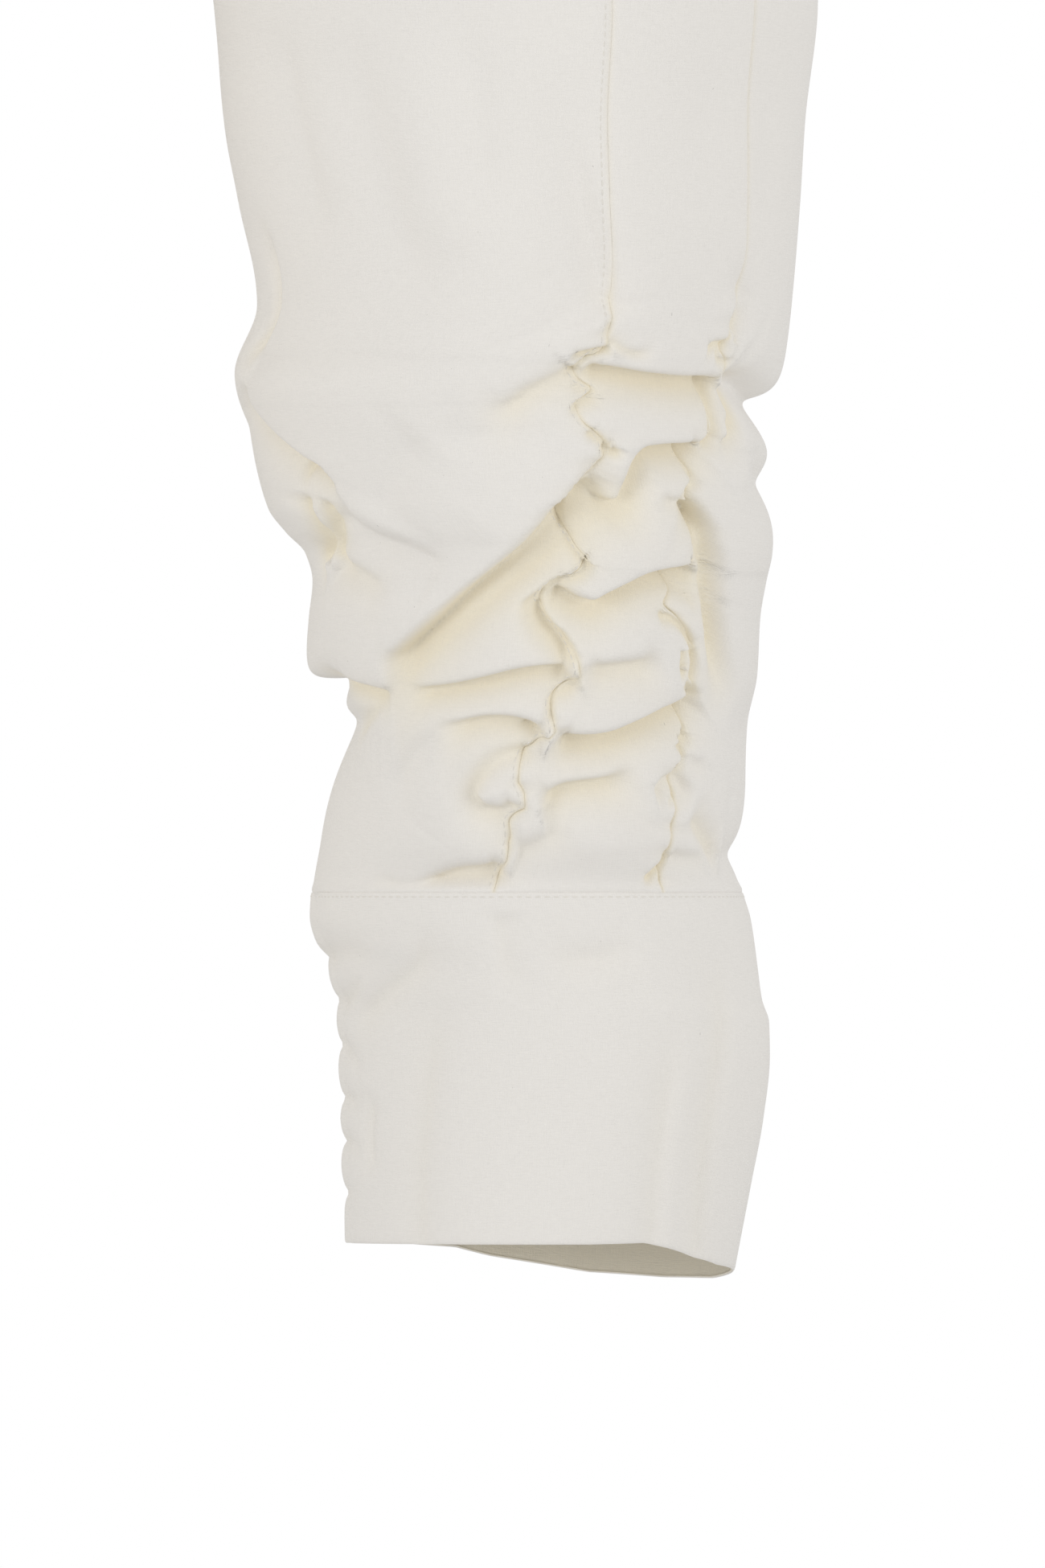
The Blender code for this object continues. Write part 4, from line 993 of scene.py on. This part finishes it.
def stitch_row(path, side, context):
    """One row of stitches: a small bead of thread, arrayed at the stitch pitch along a path."""
    pitch = context.scene.capri_sizes.stitch_pitch
    deselect_all()
    bpy.ops.mesh.primitive_uv_sphere_add(segments=6, ring_count=4, radius=0.5)
    row = context.object
    bpy.ops.object.mode_set(mode="EDIT")
    bpy.ops.mesh.select_all(action="SELECT")
    bpy.ops.transform.rotate(value=math.pi / 2, orient_axis="Y", center_override=(0, 0, 0))
    bead = (pitch * STITCH_SHARE, THREAD_WIDTH, THREAD_WIDTH)
    bpy.ops.transform.resize(value=bead, center_override=(0, 0, 0))
    bpy.ops.transform.translate(value=(pitch / 2, 0, 0))
    bpy.ops.object.mode_set(mode="OBJECT")
    repeat = row.modifiers.new("repeat", "ARRAY")
    repeat.use_relative_offset = False
    repeat.use_constant_offset = True
    repeat.constant_offset_displace = (pitch, 0, 0)
    repeat.count = int(np.linalg.norm(np.diff(path, axis=0), axis=-1).sum() / pitch)
    guide = guide_curve(path * np.array([side, 1, 1]), context)
    row.modifiers.new("follow", "CURVE").object = guide
    for modifier in ("repeat", "follow"):
        bpy.ops.object.modifier_apply(modifier=modifier)
    bpy.data.curves.remove(guide.data)
    return row


def joined(pieces, name, context):
    """The pieces as one object of that name, shaded smooth."""
    deselect_all()
    for piece in pieces:
        piece.select_set(True)
    context.view_layer.objects.active = pieces[0]
    if len(pieces) > 1:
        bpy.ops.object.join()
    whole = context.object
    whole.name = whole.data.name = name
    bpy.ops.object.shade_smooth()
    return whole


def run_stitches(name, paths, side, context):
    """Rows of stitches along paths, as one piece."""
    piece = joined([stitch_row(path, side, context) for path in paths], name, context)
    wear(piece, find_material("cream_thread", thread_material, context), [])


def make_button(name, diameter, place, normal, context):
    """A round button with a raised rim and four holes that its thread runs through."""
    radius = diameter / 2
    deselect_all()
    bpy.ops.mesh.primitive_cylinder_add(vertices=48, radius=radius, depth=BUTTON_THICKNESS)
    button = context.object
    bpy.ops.object.mode_set(mode="EDIT")
    bpy.ops.mesh.select_all(action="DESELECT")
    bpy.ops.object.mode_set(mode="OBJECT")
    for face in button.data.polygons:
        face.select = face.normal.z > 0.9
    bpy.ops.object.mode_set(mode="EDIT")
    bpy.ops.mesh.select_mode(type="FACE")
    bpy.ops.mesh.inset(thickness=radius * RIM_SHARE)
    bpy.ops.mesh.inset(thickness=radius * SLOPE_SHARE)
    bpy.ops.transform.translate(value=(0, 0, -BUTTON_THICKNESS * DISH_SHARE))
    bpy.ops.object.mode_set(mode="OBJECT")
    round_edges(button, BUTTON_EDGE)
    holes = []
    for turn in range(4):
        radians = math.pi / 4 + turn * math.pi / 2
        away = diameter * HOLE_PLACE_SHARE
        spot = (math.cos(radians) * away, math.sin(radians) * away, 0)
        deselect_all()
        bpy.ops.mesh.primitive_cylinder_add(
            vertices=16, radius=diameter * HOLE_RADIUS_SHARE, depth=diameter, location=spot
        )
        holes.append(context.object)
    for hole in holes:
        deselect_all()
        context.view_layer.objects.active = button
        button.select_set(True)
        cut = button.modifiers.new("hole", "BOOLEAN")
        cut.operation = "DIFFERENCE"
        cut.solver = "EXACT"
        cut.object = hole
        bpy.ops.object.modifier_apply(modifier=cut.name)
        bpy.data.objects.remove(hole)
    threads = []
    for lane in (-1, 1):
        deselect_all()
        spot = (0, lane * diameter * THREAD_PLACE_SHARE, BUTTON_THICKNESS * THREAD_RISE_SHARE)
        bpy.ops.mesh.primitive_uv_sphere_add(segments=10, ring_count=6, radius=0.5, location=spot)
        bead = context.object
        bead.scale = [diameter * share for share in THREAD_SIZE_SHARES]
        threads.append(bead)
    turn = normal.to_track_quat("Z", "Y").to_matrix().to_4x4()
    for piece in (button, *threads):
        piece.data.transform(Matrix.Translation(place) @ turn @ piece.matrix_basis)
        piece.matrix_basis = Matrix.Identity(4)
    thread = joined(threads, f"{name}_thread", context)
    button.name = button.data.name = f"{name}_disc"
    deselect_all()
    button.select_set(True)
    context.view_layer.objects.active = button
    bpy.ops.object.shade_smooth_by_angle(angle=BUTTON_EDGE_ANGLE)
    wear(button, find_material("cream_polyester", button_material, context), [name])
    wear(thread, find_material("cream_thread", thread_material, context), [name])


class Value:
    """Wraps a node's output, so that shader maths reads as an expression."""

    def __init__(self, shader, socket):
        self.shader = shader
        self.socket = socket

    def maths(self, operation, *values):
        return self.shader.node("ShaderNodeMath", {"operation": operation}, *values)

    def __add__(self, other):
        return self.maths("ADD", self, other)

    __radd__ = __add__

    def __sub__(self, other):
        return self.maths("SUBTRACT", self, other)

    def __rsub__(self, other):
        return self.maths("SUBTRACT", other, self)

    def __mul__(self, other):
        return self.maths("MULTIPLY", self, other)

    __rmul__ = __mul__

    def __pow__(self, other):
        return self.maths("POWER", self, other)

    def sine(self):
        return self.maths("SINE", self)

    def clipped(self):
        return self.shader.node("ShaderNodeClamp", {}, self)

    def above(self, low, high):
        """0 below low, 1 above high, and smooth between them."""
        settings = {"interpolation_type": "SMOOTHSTEP"}
        return self.shader.node("ShaderNodeMapRange", settings, self, low, high, 0.0, 1.0)


class Shader:
    """A material's nodes. Each call adds one node and returns one of its outputs."""

    def __init__(self, name, roughness):
        self.material = bpy.data.materials.new(name)
        self.material.use_nodes = True
        self.tree = self.material.node_tree
        self.surface = self.tree.nodes["Principled BSDF"]
        self.surface.inputs["Roughness"].default_value = roughness

    def feed(self, inputs, values):
        """Links or sets inputs, which are told by their index or by their name."""
        for key, value in values.items():
            socket = inputs[key if isinstance(key, int) else key.replace("_", " ")]
            if isinstance(value, Value):
                self.tree.links.new(value.socket, socket)
            else:
                socket.default_value = value

    def node(self, kind, settings, *values, output=0, **named):
        made = self.tree.nodes.new(kind)
        for name, value in settings.items():
            setattr(made, name, value)
        self.feed(made.inputs, dict(enumerate(values)) | named)
        return Value(self, made.outputs[output])

    def mix(self, share, first, second):
        """A colour between two colours."""
        made = self.tree.nodes.new("ShaderNodeMix")
        made.data_type = "RGBA"
        self.feed(made.inputs, {0: share, 6: first, 7: second})
        return Value(self, made.outputs[2])

    def noise(self, vector, scale, detail=2.0):
        settings = {"noise_dimensions": "3D"}
        return self.node("ShaderNodeTexNoise", settings, Vector=vector, Scale=scale, Detail=detail)

    def stretched(self, vector, scale):
        settings = {"vector_type": "POINT"}
        return self.node("ShaderNodeMapping", settings, Vector=vector, Scale=scale)

    def set(self, **sockets):
        self.feed(self.surface.inputs, sockets)

    def bump(self, height, distance, strength=1.0, below=None):
        inputs = {"Height": height, "Distance": distance, "Strength": strength}
        if below is not None:
            inputs["Normal"] = below
        return self.node("ShaderNodeBump", {}, **inputs)


def with_alpha(colour, share=1.0):
    return (*(channel * share for channel in colour), 1.0)


def cloth_material(context):
    """Fine plain weave: crossed threads, slubs, a soft sheen, and a painted warm shade deep in the folds,
    creases and seams.
    """
    colours = context.scene.capri_colours
    sizes = context.scene.capri_sizes
    shader = Shader("cream_cotton_cloth", 0.82)
    cut = shader.node("ShaderNodeUVMap", {"uv_map": "cut"})
    parts = shader.tree.nodes.new("ShaderNodeSeparateXYZ")
    shader.tree.links.new(cut.socket, parts.inputs[0])
    u, v = (Value(shader, parts.outputs[i]) for i in (0, 1))
    turns = 2 * math.pi / sizes.thread_pitch
    weave = (u * turns).sine() * (v * turns).sine()
    warp = shader.noise(shader.stretched(cut, (2600.0, 260.0, 1.0)), 1.0)
    weft = shader.noise(shader.stretched(cut, (260.0, 2600.0, 1.0)), 1.0)
    slubs = warp + weft
    place = shader.node("ShaderNodeTexCoord", {}, output=3)
    clouds = shader.noise(place, 28.0, 3.0)
    # The "fold" attribute is painted warm shade, laid deep in folds, creases, seam grooves and inside the
    # cuff
    fold = shader.node("ShaderNodeAttribute", {"attribute_name": "fold"}, output=2)
    with_painted_shade = shader.mix((fold ** 1.4).clipped(), with_alpha(colours.cloth), with_alpha(colours.fold))
    shade = ((slubs - 1.0) * 0.24 + (clouds - 0.5) * 0.05 + 0.03).clipped()
    # Random slub tone over the cloth and its painted warm shade
    slubs_and_painted_shade = shader.mix(shade, with_painted_shade, with_alpha(colours.cloth, 0.72))
    fleck_noise = shader.noise(shader.stretched(cut, (900.0, 420.0, 1.0)), 1.0, 1.0)
    flecks = fleck_noise.above(0.80, 0.83) * 0.5
    shader.set(Base_Color=shader.mix(flecks, slubs_and_painted_shade, with_alpha(colours.fleck)))
    shader.set(Roughness=0.80 + (slubs - 1.0) * 0.2)
    shader.set(Sheen_Weight=0.10, Sheen_Roughness=0.5, Specular_IOR_Level=0.25)
    threads = shader.bump(weave, 0.00002, 0.5)
    shader.set(Normal=shader.bump(slubs, 0.00014, 0.8, threads))
    return shader.material


def find_material(name, make, context):
    return bpy.data.materials.get(name) or make(context)


def cloth_for(context):
    return find_material("cream_cotton_cloth", cloth_material, context)


def thread_material(context):
    shader = Shader("cream_thread", 0.55)
    place = shader.node("ShaderNodeTexCoord", {}, output=3)
    twist = shader.noise(place, 1800.0, 1.0)
    thread = context.scene.capri_colours.thread
    shader.set(Base_Color=shader.mix((twist - 0.5) * 0.5 + 0.2, with_alpha(thread), with_alpha(thread, 0.8)))
    shader.set(Normal=shader.bump(twist, 0.0001, 0.5))
    return shader.material


def button_material(context):
    shader = Shader("cream_polyester", 0.35)
    place = shader.node("ShaderNodeTexCoord", {}, output=3)
    clouds = shader.noise(place, 160.0, 3.0)
    colour = context.scene.capri_colours.button
    shader.set(Base_Color=shader.mix(clouds, with_alpha(colour), with_alpha(colour, 0.86)))
    shader.set(Roughness=0.28 + clouds * 0.14, Coat_Weight=0.3)
    shader.set(Normal=shader.bump(clouds, 0.00005, 0.3))
    return shader.material


def floor_material(context):
    shader = Shader("pale_floor", 0.9)
    place = shader.node("ShaderNodeTexCoord", {}, output=3)
    clouds = shader.noise(place, 3.0, 2.0)
    colour = context.scene.capri_colours.floor
    shader.set(Base_Color=shader.mix(clouds, with_alpha(colour), with_alpha(colour, 0.97)))
    return shader.material


def length(name, description, default, **limits):
    return FloatProperty(name=name, description=description, default=default, unit="LENGTH", **limits)


def colour(name, description, default):
    return FloatVectorProperty(name=name, description=description, default=default, subtype="COLOR")


class CapriSizes(bpy.types.PropertyGroup):
    """Sizes that a user would change."""

    thread_pitch: length(
        "Thread Pitch", "Width of two neighbouring threads of the weave", 0.0006, min=0.0002, precision=5
    )
    stitch_pitch: length(
        "Stitch Pitch", "Length of one topstitch with its gap", 0.00267, min=0.001, precision=5
    )
    camera_distance: length(
        "Camera Distance", "Distance of the camera from the middle of the leg", 12.0, min=1.0
    )
    floor_height: length("Floor Height", "Height of the floor under the garment", -1.08)


class CapriColours(bpy.types.PropertyGroup):
    """Colours that a user would change."""

    cloth: colour("Cloth", "Colour of the cloth", (0.885, 0.86, 0.822))
    # Painted warm shade: the colour laid deep in folds, creases, seam grooves and inside the cuff
    fold: colour("Deep Folds", "Colour that the cloth takes deep in its folds", (0.91, 0.85, 0.71))
    fleck: colour("Flecks", "Colour of the few dark fibres in the cloth", (0.45, 0.44, 0.42))
    thread: colour("Thread", "Colour of the sewing thread", (0.86, 0.83, 0.77))
    button: colour("Buttons", "Colour of the buttons", (0.70, 0.65, 0.56))
    floor: colour("Floor", "Colour of the floor", (0.80, 0.80, 0.80))


class SewPanels(bpy.types.Operator):
    """Sew the front, ruched side and back panels of both legs"""

    bl_idname = "capri.sew_panels"
    bl_label = "Leg Panels"

    def execute(self, context):
        cloth = cloth_for(context)
        for hand in SIDES:
            for piece, panel in PANELS.items():
                sew_panel(piece, hand, cloth)
        return {"FINISHED"}


class SewCuffs(bpy.types.Operator):
    """Sew the lapped cuffs"""

    bl_idname = "capri.sew_cuffs"
    bl_label = "Cuffs"

    def execute(self, context):
        for hand in SIDES:
            sew_cuff(hand, cloth_for(context))
        return {"FINISHED"}


class SewWaistband(bpy.types.Operator):
    """Sew the waistband that laps over itself at the centre front"""

    bl_idname = "capri.sew_waistband"
    bl_label = "Waistband"

    def execute(self, context):
        angles = np.linspace(BAND_START, BAND_END, round(BAND_COLUMNS / coarser(1)) + 1)
        heights = np.linspace(-WAISTBAND_HEIGHT / 2, WAISTBAND_HEIGHT / 2, BAND_ROWS + 1)
        angle, height = np.meshgrid(angles, heights)
        points = band_points(angle, height)
        girth = SECTIONS[-1].outer * MM
        cut = np.stack([np.radians(angle) * girth, height], axis=-1)
        band = sew_sheet("waistband_cloth", points, cut, np.zeros(angle.shape), 1, BAND_CLOTH)
        round_edges(band, BAND_EDGE)
        wear(band, cloth_for(context), ["waistband"])
        return {"FINISHED"}


class SewPockets(bpy.types.Operator):
    """Sew the cargo pockets and their flaps"""

    bl_idname = "capri.sew_pockets"
    bl_label = "Cargo Pockets"

    def execute(self, context):
        cloth = cloth_for(context)
        for hand, side in SIDES.items():
            pocket = sew_patch(
                f"pocket_cloth_{hand}", pocket_surface, level_line(POCKET_BOTTOM_UP), POCKET_TOP_UP,
                POCKET_GRID, side, cloth, f"pocket_{hand}",
            )
            flap = sew_patch(
                f"flap_cloth_{hand}", flap_surface, flap_bottom, FLAP_TOP_UP,
                FLAP_GRID, side, cloth, f"pocket_flap_{hand}",
            )
        return {"FINISHED"}


class SewFly(bpy.types.Operator):
    """Sew the fly facing on the left front"""

    bl_idname = "capri.sew_fly"
    bl_label = "Fly"

    def execute(self, context):
        cloth = cloth_for(context)
        fly = sew_patch("fly_cloth", fly_surface, fly_bottom, fly_top(), FLY_GRID, 1, cloth, "fly")
        return {"FINISHED"}


class SewButtons(bpy.types.Operator):
    """Sew on the waist button and the flap buttons"""

    bl_idname = "capri.sew_buttons"
    bl_label = "Buttons"

    def execute(self, context):
        lift = BUTTON_THICKNESS / 2 + BUTTON_SEAT
        for hand, side in SIDES.items():
            across = np.array([[0.5, 0.5, 0.55]])
            up = FLAP_BUTTON_UP + np.array([[0, 2, 0]])
            one, above, beside = flap_surface(across, up)[0] * np.array([side, 1, 1])
            normal = Vector(np.cross(beside - one, above - one) * side).normalized()
            place = Vector(one) + normal * lift
            make_button(f"flap_button_{hand}", FLAP_BUTTON_DIAMETER, place, normal, context)
        forward = Vector((0, -1, 0))
        place = Vector(band_points(np.array(0.0), np.array(0.0))) + forward * lift
        make_button("waist_button", WAIST_BUTTON_DIAMETER, place, forward, context)
        return {"FINISHED"}


class RunTopstitching(bpy.types.Operator):
    """Run the topstitching along the front seams, cuffs, pockets, flaps, fly and waistband"""

    bl_idname = "capri.run_topstitching"
    bl_label = "Topstitching"

    def execute(self, context):
        for hand, side in SIDES.items():
            self.stitch_leg(context, hand, side)
            self.stitch_pocket(context, hand, side)
        self.stitch_front(context)
        return {"FINISHED"}

    def stitch_leg(self, context, hand, side):
        up = np.linspace(CUFF_HEIGHT / MM + 1, -HEM_Z / MM - 21, 1500)
        inset = TOPSTITCH_INSET / MM / DEGREE_LENGTH
        seam = leg_surface(smooth_read(SEAMS, "front", up) - inset, up, THREAD_SUNK)
        run_stitches(f"front_seam_stitches_{hand}", [seam], side, context)
        angle = np.linspace(LAP_EDGE_ANGLE + 1, LAP_UNDER_ANGLE - 20, 700)
        top = CUFF_HEIGHT / MM - CUFF_STITCH_BELOW / MM
        cuff = cuff_surface(angle, np.full(angle.shape, top), THREAD_SUNK)
        run_stitches(f"cuff_stitches_{hand}", [cuff], side, context)

    def stitch_pocket(self, context, hand, side):
        edge = PATCH_STITCH_EDGE
        paths = []
        for inset in (edge, edge + POCKET_ROW_GAP):
            low = POCKET_BOTTOM_UP + inset * POCKET_ROW_RISE
            up = np.linspace(POCKET_TOP_UP, low, 200)
            left = pocket_surface(np.full(200, inset), up, -THREAD_SUNK)
            across = np.linspace(inset, 1 - inset, 200)
            base = pocket_surface(across, np.full(200, low), -THREAD_SUNK)
            right = pocket_surface(np.full(200, 1 - inset), up[::-1], -THREAD_SUNK)
            paths.append(np.concatenate([left, base[1:], right[1:]]))
        run_stitches(f"pocket_stitches_{hand}", paths, side, context)
        across = np.linspace(edge, 1 - edge, 300)
        high = FLAP_TOP_UP - FLAP_STITCH_BELOW
        bottom = flap_surface(across, flap_bottom(across) + FLAP_STITCH_ABOVE, -THREAD_SUNK)
        top = flap_surface(across, np.full(300, high), -THREAD_SUNK)
        up = np.linspace(0, 1, 120)
        ends = []
        for share in (edge, 1 - edge):
            low = flap_bottom(np.array(share)) + FLAP_STITCH_ABOVE
            ends.append(flap_surface(np.full(120, share), low + (high - low) * up, -THREAD_SUNK))
        run_stitches(f"flap_stitches_{hand}", [bottom, top, *ends], side, context)

    def stitch_front(self, context):
        start, end = FLY_STITCH_FROM, FLY_STITCH_TO
        up = np.linspace(fly_top() - 1, fly_bottom(np.array(start)) + FLY_STITCH_RISE, 400)
        down = fly_surface(np.full(400, start), up, -THREAD_SUNK)
        curve = np.linspace(start, end, 160)
        hook = fly_bottom(curve) + FLY_STITCH_RISE * ((curve - end) / (start - end)) + FLY_STITCH_HEM
        line = np.concatenate([down, fly_surface(curve, hook, -THREAD_SUNK)[1:]])
        run_stitches("fly_stitches", [line], 1, context)
        angle = np.linspace(BAND_START + 1, BAND_STEP_START + 10, 900)
        high = WAISTBAND_HEIGHT / 2 - BAND_STITCH_INSET
        rows = [band_points(angle, np.full(angle.shape, height), -THREAD_SUNK) for height in (-high, high)]
        run_stitches("waistband_stitches", rows, 1, context)


class TackCuffs(bpy.types.Operator):
    """Tack the laps of the cuffs at the inseam"""

    bl_idname = "capri.tack_cuffs"
    bl_label = "Cuff Tacks"

    def execute(self, context):
        for hand, side in SIDES.items():
            paths = []
            for tack in TACKS_UP:
                angle = np.linspace(*TACK_ANGLES, 12)
                inward = np.where(angle < LAP_EDGE_ANGLE, TACK_BESIDE_LAP, TACK_ON_LAP)
                paths.append(cuff_surface(angle, np.full(angle.shape, tack), inward))
            run_stitches(f"cuff_tacks_{hand}", paths, side, context)
        return {"FINISHED"}


class BuildStage(bpy.types.Operator):
    """Set up the floor, the soft lights and the camera"""

    bl_idname = "capri.build_stage"
    bl_label = "Stage"

    def execute(self, context):
        sizes = context.scene.capri_sizes
        deselect_all()
        spot = (CAMERA_TARGET[0], 0, sizes.floor_height)
        bpy.ops.mesh.primitive_circle_add(vertices=96, radius=FLOOR_RADIUS, fill_type="NGON", location=spot)
        floor = context.object
        floor.name = "floor"
        floor.data.materials.append(floor_material(context))
        self.light_stage(context)
        self.place_camera(context, sizes.camera_distance)
        return {"FINISHED"}

    def light_stage(self, context):
        """A large soft light at the left front, a weaker one at the right front, and white surroundings."""
        for row in LIGHTS:
            turn = (Vector(CAMERA_TARGET) - Vector(row.place)).to_track_quat("-Z", "Y").to_euler()
            bpy.ops.object.light_add(type="AREA", location=row.place, rotation=turn)
            light = context.object
            light.name = row.name
            light.data.size = row.size
            light.data.energy = row.power
        world = bpy.data.worlds.new("white_surroundings")
        context.scene.world = world
        world.use_nodes = True
        nodes, links = world.node_tree.nodes, world.node_tree.links
        seen = nodes["Background"]
        seen.inputs["Color"].default_value = (1, 1, 1, 1)
        lighting = nodes.new("ShaderNodeBackground")
        lighting.inputs["Color"].default_value = AMBIENT_COLOUR
        lighting.inputs["Strength"].default_value = AMBIENT_STRENGTH
        path = nodes.new("ShaderNodeLightPath")
        choice = nodes.new("ShaderNodeMixShader")
        links.new(path.outputs["Is Camera Ray"], choice.inputs[0])
        links.new(lighting.outputs[0], choice.inputs[1])
        links.new(seen.outputs[0], choice.inputs[2])
        links.new(choice.outputs[0], nodes["World Output"].inputs[0])
        context.scene.view_settings.view_transform = "Standard"

    def place_camera(self, context, distance):
        """A level camera far in front of the left leg, which shows the leg with little perspective."""
        x, y, z = CAMERA_TARGET
        bpy.ops.object.camera_add(location=(x, y - distance, z), rotation=(math.pi / 2, 0, 0))
        camera = context.object
        camera.name = "camera"
        camera.data.sensor_width = SENSOR
        camera.data.lens = SENSOR * distance / FRAME_HEIGHT
        camera.data.clip_end = 100
        camera.data.dof.use_dof = False
        context.scene.camera = camera


STEPS = (
    SewPanels,
    SewCuffs,
    SewWaistband,
    SewPockets,
    SewFly,
    SewButtons,
    RunTopstitching,
    TackCuffs,
    BuildStage,
)


class CapriPanel(bpy.types.Panel):
    """Lists the steps that dress the frame"""

    bl_idname = "CAPRI_PT_steps"
    bl_label = "Cargo Capri Pants"
    bl_space_type = "VIEW_3D"
    bl_region_type = "UI"
    bl_category = "Capri"

    def draw(self, context):
        for group in (context.scene.capri_sizes, context.scene.capri_colours):
            for name in group.__annotations__:
                self.layout.prop(group, name)
        for step in STEPS:
            self.layout.operator(step.bl_idname)


CLASSES = (CapriSizes, CapriColours, *STEPS, CapriPanel)


def register():
    for each in CLASSES:
        bpy.utils.register_class(each)
    bpy.types.Scene.capri_sizes = PointerProperty(type=CapriSizes)
    bpy.types.Scene.capri_colours = PointerProperty(type=CapriColours)


def unregister():
    del bpy.types.Scene.capri_colours
    del bpy.types.Scene.capri_sizes
    for each in reversed(CLASSES):
        bpy.utils.unregister_class(each)


def main():
    register()
    bpy.ops.capri.sew_panels()
    bpy.ops.capri.sew_cuffs()
    bpy.ops.capri.sew_waistband()
    bpy.ops.capri.sew_pockets()
    bpy.ops.capri.sew_fly()
    bpy.ops.capri.sew_buttons()
    bpy.ops.capri.run_topstitching()
    bpy.ops.capri.tack_cuffs()
    bpy.ops.capri.build_stage()


if __name__ == "__main__":
    main()
